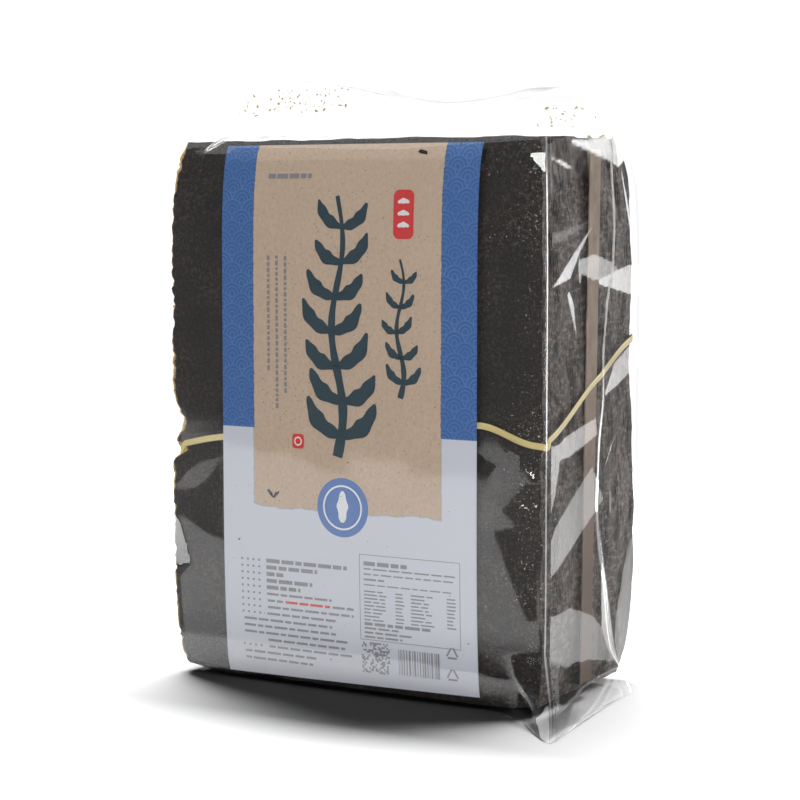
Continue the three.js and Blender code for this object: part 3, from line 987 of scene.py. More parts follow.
def strap_tree():
    """A geometry tree that sweeps a flat oval along a closed path."""
    inputs = {"Path": "Geometry", "Width": "Float", "Thickness": "Float", "Material": "Material"}
    g = Group("Strap along a path", "GeometryNodeTree", inputs, {"Strap": "Geometry"})
    path = g.add("GeometryNodeMeshToCurve", g.start["Path"])
    path = g.add("GeometryNodeSetCurveNormal", path, named={"Normal": g.vector("out")}, mode="FREE")
    oval = g.add("GeometryNodeCurvePrimitiveCircle", named={"Resolution": 12, "Radius": 0.5})
    along, across = (g.add("GeometryNodeSplineParameter", out=out) for out in ("Length", "Factor"))
    path = g.add("GeometryNodeStoreNamedAttribute", path, named={"Name": "along", "Value": along})
    oval = g.add("GeometryNodeStoreNamedAttribute", oval, named={"Name": "across", "Value": across})
    size = g.add("ShaderNodeCombineXYZ", g.start["Thickness"], g.start["Width"], 1.0)
    oval = g.add("GeometryNodeTransform", oval, named={"Scale": size})
    return g.dress(g.add("GeometryNodeCurveToMesh", path, named={"Profile Curve": oval}))


def run_tree(carrier, tree, values):
    """Runs a geometry tree on a carrier and leaves its result as the carrier's plain mesh."""
    modifier = carrier.modifiers.new(tree.name, "NODES")
    modifier.node_group = tree
    for item in tree.interface.items_tree:
        if item.in_out == "INPUT" and item.name in values:
            modifier[item.identifier] = values[item.name]
    bpy.context.view_layer.update()
    ready = carrier.evaluated_get(bpy.context.evaluated_depsgraph_get())
    mesh = bpy.data.meshes.new_from_object(ready)
    if not mesh.polygons:
        raise RuntimeError(f"{tree.name} made nothing for {carrier.name}")
    carrier.modifiers.remove(modifier)
    old = carrier.data
    carrier.data = mesh
    mesh.name = carrier.name
    bpy.data.meshes.remove(old)
    return carrier


def shapes_at(name, shape, places, turns, sizes, material, spread=0.0, seed=0):
    """One piece of many shapes at points; the shape's own object is removed afterwards."""
    carrier = new_object(name, places)
    mark_points(carrier, "turn", turns)
    mark_points(carrier, "size", sizes)
    values = {"Shape": shape, "Spread": spread, "Seed": seed, "Material": material}
    piece = run_tree(carrier, points_tree(), values)
    old = shape.data
    bpy.data.objects.remove(shape)
    bpy.data.meshes.remove(old)
    return piece


def bar_shape():
    """A bar of size 1 each way, as a shape to repeat."""
    corners = [(x, y, z) for z in (-0.5, 0.5) for y in (-0.5, 0.5) for x in (-0.5, 0.5)]
    faces = ((0, 2, 3, 1), (4, 5, 7, 6), (0, 1, 5, 4), (2, 6, 7, 3), (0, 4, 6, 2), (1, 3, 7, 5))
    return mesh_piece("Bar", corners, faces)


def flake_shape(seed):
    """A thin ragged flake about 1 across, as a shape to repeat."""
    rng = np.random.default_rng(seed)
    count = 8
    angle = (np.arange(count) + rng.uniform(-0.3, 0.3, count)) * 2 * math.pi / count
    reach = rng.uniform(0.28, 0.55, count)
    curl = rng.uniform(-0.12, 0.12, count)
    ring = columns(reach * np.cos(angle), curl, reach * np.sin(angle))
    thick = np.array([0.0, 0.05, 0.0])
    faces = [tuple(range(count)), tuple(range(2 * count - 1, count - 1, -1))]
    for i in range(count):
        k = (i + 1) % count
        faces.append((k, i, count + i, count + k))
    return mesh_piece("Flake", np.concatenate([ring - thick, ring + thick]), faces)


def station_shares():
    """The film's stations as shares of each part, closer at the right side's ends and beside the label."""
    shares = []
    for part, count in zip(PARTS, FILM_STEPS):
        t = np.arange(count) / count
        if part.startswith("right"):
            t = (t + (1 - np.cos(np.pi * t)) / 2) / 2
        if part == "front":
            t = np.interp(t, (0, 0.3, 0.7, 1), (0, 0.17, 0.83, 1))
        shares.append(t[None, :])
    return shares


def film_parts():
    """Where each part of the film's rings starts and ends, and the right side as a whole."""
    where = {}
    for name, count, end in zip(PARTS, FILM_STEPS, np.cumsum(FILM_STEPS)):
        where[name] = slice(end - count, end)
    where["side"] = slice(where["right_to_fold"].start, where["right_to_back"].stop)
    return where


def spread_film(s, x, y, z, on_side):
    """Adds the corner of film that spreads over the floor, and the skirt beside it."""
    corner = CREASE_RADIUS * (1 - math.sqrt(0.5))
    across = (x - half_width(s, z) + corner) / np.where(on_side, EAR_SPAN_SIDE, EAR_SPAN_FRONT)
    along = (y - corner + half_depth(s, z)) / EAR_SPAN_SIDE
    near = np.exp(-(across**2) - along**2)
    ear = near * np.clip(1 - z / EAR_HEIGHT, 0, None)
    x, y = x + EAR_REACH[0] * ear, y + EAR_REACH[1] * ear
    t = (x - half_width(s, z) + EAR_SPAN_FRONT) / (EAR_SPAN_FRONT - BASE_INSET * base_share(z))
    t = np.clip(t, 0, 1)
    side = t * t * (3 - 2 * t) * (1 - near) * tent(y - FOLD_Y, s.bag_depth)
    return x + SKIRT_REACH * side * np.clip(1 - z / SKIRT_HEIGHT, 0, None) ** SKIRT_POWER, y


def ridge_height(x):
    """The height of the film's ridge above the block along X."""
    height = np.full_like(x, RIDGE_LOW)
    for place, span, rise in (RIDGE_PEAK, RIDGE_EAR):
        height = height + rise * np.exp(-(((x - place) / span) ** 4))
    return height


def roof_depth(s, rise):
    """The share of the block's depth that the film still spans at a share of the way up to its ridge."""
    thin = RIDGE_HALF / half_depth(s, s.block_height)
    return thin + (1 - thin) * (1 - rise) ** ROOF_CURVE


def patch_share(across, up, patch):
    """How much places across and up lie inside a patch of film, and how far along it."""
    (a0, b0), (a1, b1), left, right = patch[:4]
    run = math.hypot(a1 - a0, b1 - b0)
    ca, cb = (a1 - a0) / run, (b1 - b0) / run
    da, db = across / MM - a0, up / MM - b0
    along = (da * ca + db * cb) / run
    over = db * ca - da * cb
    stations = np.linspace(0, 1, len(left))
    to_left = np.interp(along, stations, left) - over
    to_right = np.interp(along, stations, right) + over
    to_end = (0.5 - np.abs(along - 0.5)) * run
    inside = np.minimum(np.minimum(to_left, to_right), to_end)
    return np.clip(inside / PATCH_EDGE + 0.5, 0, 1), np.clip(along, 0, 1)


def facet_relief(across, up, pitch, height, seed):
    """Flat facets between scattered points, as crumpled film has them, in metres."""
    rng = np.random.default_rng(seed)
    across, up = np.broadcast_arrays(across, up)
    stations = np.arange(across.min() - pitch, across.max() + 2 * pitch, pitch)
    rows = np.arange(up.min() - pitch, up.max() + 2 * pitch, pitch)
    grid = np.array([(c, r) for c in stations for r in rows])
    grid += rng.uniform(-FACET_JITTER, FACET_JITTER, grid.shape) * pitch
    made = geometry.delaunay_2d_cdt([Vector(p) for p in grid], [], [], 0, 1e-9)
    points = np.array([(p.x, p.y) for p in made[0]])
    heights = rng.uniform(0, height, len(points))
    lift = np.zeros(across.shape)
    for i, j, k in made[2]:
        a, b, c = points[i], points[j], points[k]
        area = (b[0] - a[0]) * (c[1] - a[1]) - (b[1] - a[1]) * (c[0] - a[0])
        wb = ((across - a[0]) * (c[1] - a[1]) - (up - a[1]) * (c[0] - a[0])) / area
        wc = ((b[0] - a[0]) * (up - a[1]) - (b[1] - a[1]) * (across - a[0])) / area
        inside = (wb >= 0) & (wc >= 0) & (wb + wc <= 1)
        value = heights[i] * (1 - wb - wc) + heights[j] * wb + heights[k] * wc
        lift = np.where(inside, value, lift)
    return lift


def part_share(places):
    """The share of the way across a part of the film, at each of its stations."""
    return np.linspace(0, 1, places.shape[1])[None, :]


def between_ends(places, reach):
    """0 at both ends of a part, rising to 1 within a share of it."""
    share = part_share(places)
    return np.clip(np.minimum(share, 1 - share) / reach, 0, 1)


def film_relief(s, x, y, z, where, fold_y):
    """The folds and crumples of the film, as distances out from its plan."""
    relief = np.zeros(x.shape)
    for part, (reach, pitch, height, seed) in FACETS.items():
        across = (x if part in ("front", "back") else y)[:, where[part]]
        facets = facet_relief(across, z, pitch * MM, height * MM, seed)
        relief[:, where[part]] = between_ends(across, reach) * facets
    side, front = where["side"], where["front"]
    relief[:, side] += FOLD_PINCH * tent(y[:, side] - fold_y, FOLD_PINCH_REACH)
    beside = ease(np.abs(x[:, front]) / MM, *BESIDE_LABEL)
    relief[:, front] *= LABEL_CALM + (1 - LABEL_CALM) * beside
    line = LIP_FOLD * tent(z - LIP_FOLD_Z, LIP_FOLD_REACH) * beside
    relief[:, front] += between_ends(x[:, front], FACETS["front"][0]) * line
    loose = LOOSE_OUT * (1 + bell(z - LOOSE_Z, LOOSE_SPAN))
    for part, (start, way) in LOOSE_FROM.items():
        near = way * (part_share(x[:, where[part]]) - start)
        relief[:, where[part]] += loose * np.clip(near / LOOSE_REACH, 0, 1)
    relief[:, where["back_right"]] = loose
    return relief * np.clip(z / FLAT_BASE, 0, 1) * np.clip((s.block_height - z) / FLAT_TOP, 0, 1)


def held(way):
    """A facing of length 1 and the share held to it, or four zeros for a facing as built."""
    length = math.hypot(*way)
    return np.array((*way, length)) / length if length else np.zeros(4)


def film_shine(s, x, y, z, fold_y, where):
    """Which way the film faces, with the share held to it, and how strongly it mirrors at each place."""
    rise = np.arange(1, ROOF_STEPS + 1)[:, None] / ROOF_STEPS
    up = np.concatenate([z, s.block_height + rise * ROOF_RUN])
    x, y = (np.concatenate([p, np.repeat(p[-1:], ROOF_STEPS, axis=0)]) for p in (x, y))
    facing = np.zeros((*x.shape, 4))
    mirror = np.where(up > s.block_height, np.interp(x / MM, ROOF_EAR_X, ROOF_MIRROR), 1.0)
    side, walls = where["side"], slice(0, len(z))
    mirror[walls, side] = np.interp(z / MM, SIDE_CALM_Z, SIDE_MIRROR)
    lip = np.where(z < s.label_top + s.label_out, LABEL_LIP_MIRROR, LIP_MIRROR)
    mirror[walls, where["front"]] = np.where(z < s.block_height - TOP_ROUND, 1.0, lip)
    mirror[walls, where["front_right"]] = CORNER_MIRROR
    for part in ("left_to_front", "front_left", "left_to_fold"):
        mirror[walls, where[part]] = LEFT_MIRROR
    line = slice(*(where["front_right"].start + k for k in CREASE_STATIONS))
    front = slice(where["front_left"].start, line.start)
    for part, across, patches in ((side, y, SIDE_PATCHES), (front, x, FRONT_PATCHES)):
        for patch in patches:
            share, along = patch_share(across[:, part], up, patch)
            way, strength = patch[4:]
            facing[:, part] += share[:, :, None] * (held(way) - facing[:, part])
            mirror[:, part] += share * (strength * (PATCH_BRIGHT - PATCH_FALL * along) - mirror[:, part])
    mirror[walls, line] = np.interp(z / MM, CREASE_Z, CREASE_MIRROR)
    facing[walls, line] = held(CREASE)
    beside = (y[walls, side] - fold_y) / MM
    bright, dark = (tent(beside - place, reach) for place, reach in (FOLD_BRIGHT, FOLD_SHADE))
    facing[walls, side] += bright[:, :, None] * (held(SIDE_HIGH) - facing[walls, side])
    mirror[walls, side] += bright * (np.interp(z / MM, FOLD_SHINE_Z, FOLD_MIRROR) - mirror[walls, side])
    mirror[walls, side] *= 1 - FOLD_DARK * dark
    return facing, mirror


def film_roof(s, x, y):
    """The rings of crumpled film from the top of the block to the ridge."""
    steps = np.arange(1, ROOF_STEPS + 1) / ROOF_STEPS
    crumple = facet_relief(x[None, :], steps[:, None] * ROOF_RUN, *ROOF_FACETS)
    rings = []
    for rise, relief in zip(steps, crumple):
        rx, ry = x * (1 - RIDGE_NARROW * rise), y * roof_depth(s, rise)
        sag = relief * math.sin(math.pi * rise) ** ROOF_SAG_POWER * np.clip(np.abs(ry) / ROOF_TAUT, 0, 1)
        up = np.maximum(rise * (ridge_height(rx) - TOP_LIFT) - sag, rise * ROOF_LOW)
        rings.append(columns(rx, ry, s.block_height + TOP_LIFT + up))
    return np.array(rings)


def film_form(s):
    """The places of the film, ring by ring from the floor to the ridge, its facing and how it mirrors."""
    base = EAR_HEIGHT * (np.arange(FILM_BASE_ROWS) / FILM_BASE_ROWS) ** FILM_BASE_POWER
    wall_top = s.block_height - TOP_ROUND
    wall = np.linspace(EAR_HEIGHT, wall_top, FILM_WALL_ROWS, endpoint=False)
    z = np.concatenate([base, wall, np.linspace(wall_top, s.block_height, FILM_TOP_ROWS)])[:, None]
    fold_y = np.interp(z / MM, FOLD_LINE_Z, FOLD_LINE_Y) * MM + FOLD_WAVE * np.sin(z / FOLD_WAVE_PITCH)
    x, y = plan_ring(s, z, station_shares(), fold_y, FILM_FOLD_MID, FILM_EDGE)
    where = film_parts()
    run_x, run_y = (np.roll(p, -1, axis=1) - np.roll(p, 1, axis=1) for p in (x, y))
    norm = np.hypot(run_x, run_y)
    out_x, out_y = run_y / norm, -run_x / norm
    lift = s.film_gap * np.minimum(1 + FILM_LEFT_SHARE + out_x, 1)
    lift = lift + s.film_over_label * np.clip(-out_y, 0, 1) + s.film_left * np.clip(-out_x, 0, 1)
    lift = lift + film_relief(s, x, y, z, where, fold_y)
    facing, mirror = film_shine(s, x, y, z, fold_y, where)
    x, y = x + out_x * lift, y + out_y * lift
    roof = film_roof(s, x[-1], y[-1])
    on_side = np.zeros(x.shape, bool)
    on_side[:, where["side"]] = True
    x, y = spread_film(s, x, y, z, on_side)
    raised = z + TOP_LIFT * np.clip((z - wall_top) / TOP_ROUND, 0, 1)
    walls = np.stack([x, y, np.broadcast_to(raised, x.shape)], axis=2)
    walls[0, :, 2] = FILM_FOOT
    return np.concatenate([walls, roof]), facing, mirror


class FilmBag(bpy.types.Operator):
    """Makes the clear film bag with its folds, ridge and spread corner"""

    bl_idname = "nori_pack.film_bag"
    bl_label = "Film bag"

    def execute(self, context):
        """Makes the film."""
        rings, facing, mirror = film_form(context.scene.pack_sizes)
        rows, count = rings.shape[:2]
        faces = ring_faces(rows, count)
        faces += cap_faces(0, count, False)
        faces += cap_faces((rows - 1) * count, count, True)
        piece = mesh_piece("film", rings.reshape(-1, 3), faces, film_material(), True)
        mark_points(piece, "lean", facing[:, :, :3].reshape(-1, 3))
        mark_points(piece, "hold", facing[:, :, 3].ravel())
        mark_points(piece, "mirror", mirror.ravel())
        hand_over(piece, "bag")
        return {"FINISHED"}


def sheet_outline(s, inset):
    """The outline of a sheet as x and z, anticlockwise from its bottom left as seen from the front."""
    left, right = s.sheet_left + inset, s.sheet_right - inset
    low, high = s.sheet_bottom + inset, s.sheet_top - inset
    b = np.arange(SHEET_BOTTOM_STEPS) / SHEET_BOTTOM_STEPS
    v = np.arange(SHEET_SIDE_STEPS) / SHEET_SIDE_STEPS
    across, up = left + (right - left) * b, low + (high - low) * v
    x = np.concatenate([across, np.full_like(v, right), left + right - across, np.full_like(v, left)])
    z = np.concatenate([np.full_like(b, low), up, np.full_like(b, high), low + high - up])
    return x, z


def edge_wander(rng, sheets):
    """How far the edges of the sheets wander outward, much alike in sheets that lie together."""
    rows = np.fft.fftfreq(sheets)[:, None] * sheets / WANDER_SHEETS
    tones = np.fft.rfftfreq(SHEET_COUNT)[None, :] * SHEET_COUNT / WANDER_STATIONS
    wave = np.fft.rfft2(rng.normal(size=(sheets, SHEET_COUNT)))
    wave = wave / (1 + np.hypot(rows, tones) ** WANDER_POWER)
    wander = np.fft.irfft2(wave, (sheets, SHEET_COUNT))
    wander = wander / wander.std() * WANDER
    shreds = rng.normal(size=wander.shape) * SHRED
    shreds[:, -SHEET_SIDE_STEPS:] *= SHRED_LEFT
    return np.clip(wander + shreds, *WANDER_LIMITS) * MM


def drawn_in(s, x, y, z):
    """Where a sheet's edge comes to lie: in at the tie and at both ends, out low at the back right."""
    dent_z = DENT_Z + (y + s.bag_depth / 2) * DENT_SLOPE
    groove_z = GROOVE_Z + np.where(y < GROOVE_Y, *GROOVE_BEND) * (y - GROOVE_Y) ** 2
    groove = GROOVE + GROOVE_CORNER * ease(np.abs(y) / MM, *GROOVE_CORNER_Y)
    pinch = np.maximum(DENT * bell(z - dent_z, DENT_REACH), groove * bell(z - groove_z, GROOVE_REACH))
    pinch = pinch * np.clip(-x / EDGE_X, 0, 1) ** DRAWN_POWER
    bulge = BULGE * bell(z - BULGE_Z, BULGE_SPAN) * np.clip(y / BULGE_Y, 0, 1)
    bulge = bulge * np.clip(x / EDGE_X, 0, 1) ** SIDE_POWER
    taper = ENDS_IN * from_middle(s, z) ** ENDS_POWER * np.clip(np.abs(x) / EDGE_X, 0, 1) ** SIDE_POWER
    return x + pinch + bulge - np.sign(x) * taper


def sheet_points(s, rng, wander, depth, start, end):
    """Points of one sheet at a share of the depth between two places: rim and border, front and back."""
    b, v = SHEET_BOTTOM_STEPS, SHEET_SIDE_STEPS
    out_x = np.concatenate([np.zeros(b), np.ones(v), np.zeros(b), -np.ones(v)])
    out_z = np.concatenate([-np.ones(b), np.zeros(v), np.ones(b), np.zeros(v)])
    grow = rng.uniform(-GROW, GROW) * MM
    smooth = np.ones(CURL_STATIONS) / CURL_STATIONS
    curl = np.convolve(rng.normal(size=SHEET_COUNT), smooth, "same") * CURL * MM
    x, z = sheet_outline(s, 0.0)
    rim = (x + out_x * (wander + grow), z + out_z * wander, curl)
    border = (*sheet_outline(s, SHEET_INSET), np.zeros(SHEET_COUNT))
    rings = []
    for x, z, loose in (rim, border):
        z = np.maximum(z, s.sheet_bottom)
        front = SHEET_FRONT_GAP - half_depth(s, z) if start is None else np.full_like(z, start)
        back = half_depth(s, z) - SHEET_BACK_GAP if end is None else np.full_like(z, end)
        y = front + (back - front) * depth
        corner = ease(np.abs(x / MM - FOOT_MIDDLE), *FOOT_SPAN) ** 2
        lift = FOOT_LIFT * corner * np.clip(1 - z / FOOT_HEIGHT, 0, 1)
        rings.append(columns(drawn_in(s, x, y, z), y + loose, z + lift))
    half = np.array([0.0, s.sheet_thick / 2, 0.0])
    return np.concatenate([ring + side * half for side in (-1, 1) for ring in rings])


def sheet_faces():
    """The faces of one sheet: a rim, a border and rows straight across, on its front and back."""
    b, v, count = SHEET_BOTTOM_STEPS, SHEET_SIDE_STEPS, SHEET_COUNT
    faces = []
    for i in range(count):
        k = (i + 1) % count
        faces.append((i, k, count + k, count + i))
        faces.append((2 * count + k, 2 * count + i, 3 * count + i, 3 * count + k))
        faces.append((k, i, 2 * count + i, 2 * count + k))
    right, top, left = b, b + v, 2 * b + v
    bands = [list(range(0, b + 1)) + [right + 1, count - 1]]
    for i in range(1, v - 1):
        bands.append([count - i, right + i, right + i + 1, count - i - 1])
    bands.append([right + v - 1] + list(range(top, left + 1)) + [left + 1])
    for band in bands:
        faces.append(tuple(count + i for i in band))
        faces.append(tuple(3 * count + i for i in reversed(band)))
    return faces


class NoriSheets(bpy.types.Operator):
    """Makes the two bundles of sheets and the card between them"""

    bl_idname = "nori_pack.sheets"
    bl_label = "Nori sheets"

    def execute(self, context):
        """Makes the sheets."""
        s, c = context.scene.pack_sizes, context.scene.pack_colours
        material = nori_material(c)
        spans = (
            ("nori_front", None, s.divider_y - s.divider_room),
            ("nori_back", s.divider_y + s.divider_room, None),
        )
        faces = sheet_faces()
        # The left edges carry the rim, where a golden colour paints light shining through them.
        golden = np.zeros(SHEET_COUNT)
        golden[-SHEET_SIDE_STEPS:] = 1.0
        rim = np.concatenate([golden, np.zeros(SHEET_COUNT)] * 2)
        for (name, start, end), seed in zip(spans, SHEET_SEEDS):
            rng = np.random.default_rng(seed)
            sheets = []
            for k, wander in enumerate(edge_wander(rng, s.sheet_count)):
                depth = (k + 0.2) / (s.sheet_count - 0.6)
                sheets.append((sheet_points(s, rng, wander, depth, start, end), faces))
            piece = mesh_piece(name, *join_meshes(sheets), material)
            mark_points(piece, "rim", np.tile(rim, s.sheet_count))
            hand_over(piece, "bag")
        self.card(s, c)
        return {"FINISHED"}

    def card(self, s, c):
        """Makes the card between the bundles, its right edge folded over the front bundle."""
        z = np.linspace(*CARD_SPAN, CARD_ROWS)
        wear = np.random.default_rng(CARD_SEED).normal(size=CARD_ROWS) * CARD_WEAR
        left, right = s.sheet_left + CARD_INSET, s.divider_right
        inner = right - 2 * CARD_HALF
        near, far = s.divider_y - CARD_HALF, s.divider_y + CARD_HALF
        points = []
        for height, worn in zip(z, wear):
            place = s.divider_y + CARD_LEAN * (height / s.block_height - CARD_UPRIGHT)
            fold = place - s.divider_flap + worn
            ring = (
                (left, near),
                (inner, near),
                (inner, fold),
                (right, fold),
                (right, place + CARD_HALF),
                (left, far),
            )
            points += [(x, y, height) for x, y in ring]
        count = len(ring)
        top = tuple(range(len(points) - count, len(points)))
        faces = ring_faces(CARD_ROWS, count) + [tuple(reversed(range(count))), top]
        hand_over(mesh_piece("divider", points, faces, card_material(c)), "bag")


def label_place(s, x, z, out):
    """A place on the label at a distance out from the bag's front face, and the face's slopes."""
    x, z = np.asarray(x, float), np.asarray(z, float)
    step = 0.2 * MM
    tilt = (front_y(s, x, z + step) - front_y(s, x, z - step)) / (2 * step)
    turn = 8 * FACE_CROWN * x / s.bag_width**2
    norm = np.sqrt(1 + tilt**2)
    y = front_y(s, x, z) - out / norm
    return np.stack([x, y, z + out * tilt / norm], axis=-1), turn, tilt


def label_slab(s, x, z, out, thick):
    """Points and faces of a thin closed slab over the label, from grids of its x and z."""
    rows, across = x.shape
    layer = rows * across
    sides = [label_place(s, x, z, reach)[0].reshape(-1, 3) for reach in (out, out - thick)]
    faces = []
    for r in range(rows - 1):
        for k in range(across - 1):
            a = r * across + k
            faces.append((a, a + 1, a + across + 1, a + across))
            faces.append((layer + a, layer + a + across, layer + a + across + 1, layer + a + 1))
    rim = list(range(across))
    rim += [r * across + across - 1 for r in range(1, rows)]
    rim += [(rows - 1) * across + k for k in range(across - 2, -1, -1)]
    rim += [r * across for r in range(rows - 2, 0, -1)]
    for a, b in zip(rim, rim[1:] + rim[:1]):
        faces.append((b, a, layer + a, layer + b))
    return np.concatenate(sides), faces


class PaperLabel(bpy.types.Operator):
    """Makes the paper label"""

    bl_idname = "nori_pack.label"
    bl_label = "Paper label"

    def execute(self, context):
        """Makes the label."""
        s, c = context.scene.pack_sizes, context.scene.pack_colours
        rows, across = LABEL_GRID
        up = (1 - np.cos(np.linspace(0, math.pi, rows)))[:, None] / 2
        share = np.linspace(0, 1, across)[None, :]
        low = s.label_bottom + s.label_slant * share
        z = low + (s.label_top - low) * up
        x = np.broadcast_to(s.label_left + (s.label_right - s.label_left) * share, z.shape)
        points, faces = label_slab(s, x, z, s.label_out, LABEL_THICK)
        hand_over(mesh_piece("label_paper", points, faces, label_material(s, c)), "label")
        return {"FINISHED"}


def strip_grid(spine, half, across=3):
    """Grids of x and z for a strip along a spine, a half-width on each side of it."""
    run = np.gradient(spine, axis=0)
    run /= np.linalg.norm(run, axis=1, keepdims=True)
    side = columns(run[:, 1], -run[:, 0])
    share = np.linspace(-1, 1, across)
    grid = spine[:, None, :] + side[:, None, :] * (half[:, None] * share[None, :])[:, :, None]
    return grid[:, :, 0], grid[:, :, 1]


def leaf(root, tip, width, bend, ripple):
    """A strip for a blade of seaweed from its root to its tip, in millimetres."""
    t = np.linspace(0, 1, LEAF_STATIONS)
    root, tip = np.array(root) * MM, np.array(tip) * MM
    run = tip - root
    side = np.array([-run[1], run[0]])
    spine = root + run * t[:, None] + side * (bend * np.sin(math.pi * t))[:, None]
    half = width * MM / 2 * (np.sin(math.pi * np.clip(t * 0.93 + 0.05, 0, 1)) ** 0.75)
    half = half * (1 + 0.14 * np.sin(ripple + t * 15)) + 0.15 * MM
    return strip_grid(spine, half)


def rounded_box(left, right, low, high, radius):
    """A strip for a plate with round corners, in millimetres."""
    z = low + (high - low) * (1 - np.cos(np.linspace(0, math.pi, PLATE_STATIONS))) / 2
    over = np.maximum(0, np.maximum(low + radius - z, z - high + radius))
    half = (right - left) / 2 - radius + np.sqrt(np.maximum(radius**2 - over**2, 0.01))
    return strip_grid(columns(np.full_like(z, (left + right) / 2), z) * MM, half * MM)


def ring_strip(cx, cz, radius, width, sides):
    """A strip round a circle, in millimetres."""
    angle = np.linspace(0, 2 * math.pi, sides + 1)
    spine = columns(cx + radius * np.cos(angle), cz + radius * np.sin(angle)) * MM
    return strip_grid(spine, np.full(sides + 1, width * MM / 2), 2)


def plant_strips():
    """The strips of a seaweed plant and of a small one beside it."""
    strips = []
    t = np.linspace(0, 1, STEM_STATIONS)
    for x, low, high, width, sway, pairs, reach in PLANTS:
        spine = columns(x + sway * np.sin(t * STEM_TURNS), low + (high - low) * t) * MM
        half = width * MM / 2 * (1 - 0.62 * t) * (1 + 0.1 * np.sin(t * 40))
        strips.append(strip_grid(spine, half))
        for n in range(pairs):
            share = (n + 0.6) / (pairs + 0.5)
            root = (x + sway * math.sin(share * STEM_TURNS), low + (high - low) * share)
            size = reach * (1 - 0.35 * share)
            for way in (-1, 1):
                up = size * (0.75 + 0.12 * ((n * 2 + way) % 3))
                tip = (root[0] + way * size, root[1] + up)
                strips.append(leaf(root, tip, size * 0.42, -0.16 * way, n * 1.7 + way))
    return strips


def white_marks():
    """Plain pale marks on the seals and the badge."""
    marks = [ring_strip(*ring) for ring in WHITE_RINGS]
    marks.append(leaf(*BADGE_LEAF))
    left, right, low, pitch = SEAL_LEAVES
    for k in range(3):
        z = low + k * pitch
        marks.append(leaf((left, z), (right, z), 2.2, 0.12, 0.5 * k))
    return marks


def triangle_strips():
    """Two small open triangles."""
    strips = []
    angle = np.linspace(0, 2 * math.pi, 4) + QUARTER
    for cx, cz in TRIANGLES:
        corners = columns(cx + TRIANGLE_RADIUS * np.cos(angle), cz + TRIANGLE_RADIUS * np.sin(angle))
        for a, b in zip(corners, corners[1:]):
            spine = (a + (b - a) * np.linspace(0.14, 0.86, 4)[:, None]) * MM
            strips.append(strip_grid(spine, np.full(4, 0.45 * MM), 2))
    return strips


def print_bars():
    """The small bars of the print: places, widths and heights in millimetres, by ink."""
    rng = np.random.default_rng(PRINT_SEED)
    grey, red = [], []

    def row(x, z, length, height, bars=grey, word=5.5, gap=1.1):
        end = x + length
        while x < end - 1:
            size = min(word * rng.uniform(0.55, 1.5), end - x)
            bars.append((x + size / 2, z, size, height))
            x += size + gap

    for k, (start, length, dots) in enumerate(LOW_ROWS):
        z = ROWS_TOP - k * ROWS_PITCH
        grey += [(DOTS_X + n * DOTS_PITCH, z, *DOT_SIZE) for n in range(dots)]
        row(start, z, length, BIG_HEIGHT if k < BIG_ROWS else ROW_HEIGHT)
    z = ROWS_TOP - RED_ROW * ROWS_PITCH
    row(-38, z, 26, 1.2, red)
    row(-10.5, z, 12, ROW_HEIGHT)
    for x, length in UPRIGHT_ROWS:
        z = UPRIGHT_TOP
        while z > UPRIGHT_TOP - length:
            size = rng.uniform(1.2, 2.6)
            grey.append((x, z - size / 2, UPRIGHT_WIDTH, size))
            z -= size + UPRIGHT_GAP
    row(-47.5, 252.6, 25, 2.3, word=4.2, gap=0.9)
    for k, (length, height) in enumerate(TABLE_HEAD):
        row(TABLE_X, HEAD_Z[0] - k * HEAD_Z[1], length, height)
    for k in range(TABLE_ROWS):
        for x, length in TABLE_COLUMNS:
            z = COLUMN_Z[0] - k * COLUMN_Z[1]
            row(x, z, length * rng.uniform(0.6, 1.0), 0.7, word=6)
    for k, (length, height) in enumerate(TABLE_FOOT):
        row(TABLE_X, FOOT_Z[0] - k * FOOT_Z[1], length, height)
    for x, z, wide, tall in FRAME_EDGES:
        for n in range(FRAME_BARS):
            share = (n + 0.5) / FRAME_BARS - 0.5
            if wide > tall:
                grey.append((x + wide * share, z, wide / FRAME_BARS, tall))
            else:
                grey.append((x, z + tall * share, wide, tall / FRAME_BARS))
    for i in range(CELLS):
        for k in range(CELLS):
            if rng.random() < CELL_SHARE:
                x, z = (corner + n * size for corner, n, size in zip(CELL_CORNER, (i, k), CELL_SIZE))
                grey.append((x, z, *CELL_SIZE))
    x, end = LINES_SPAN
    while x < end:
        size = rng.choice(LINE_WIDTHS)
        grey += [(x + size / 2, LINE_LOW + n * LINE_BAR, size, LINE_BAR) for n in range(LINE_BARS)]
        x += size + rng.choice(LINE_GAPS)
    return {"grey": grey, "red": red}


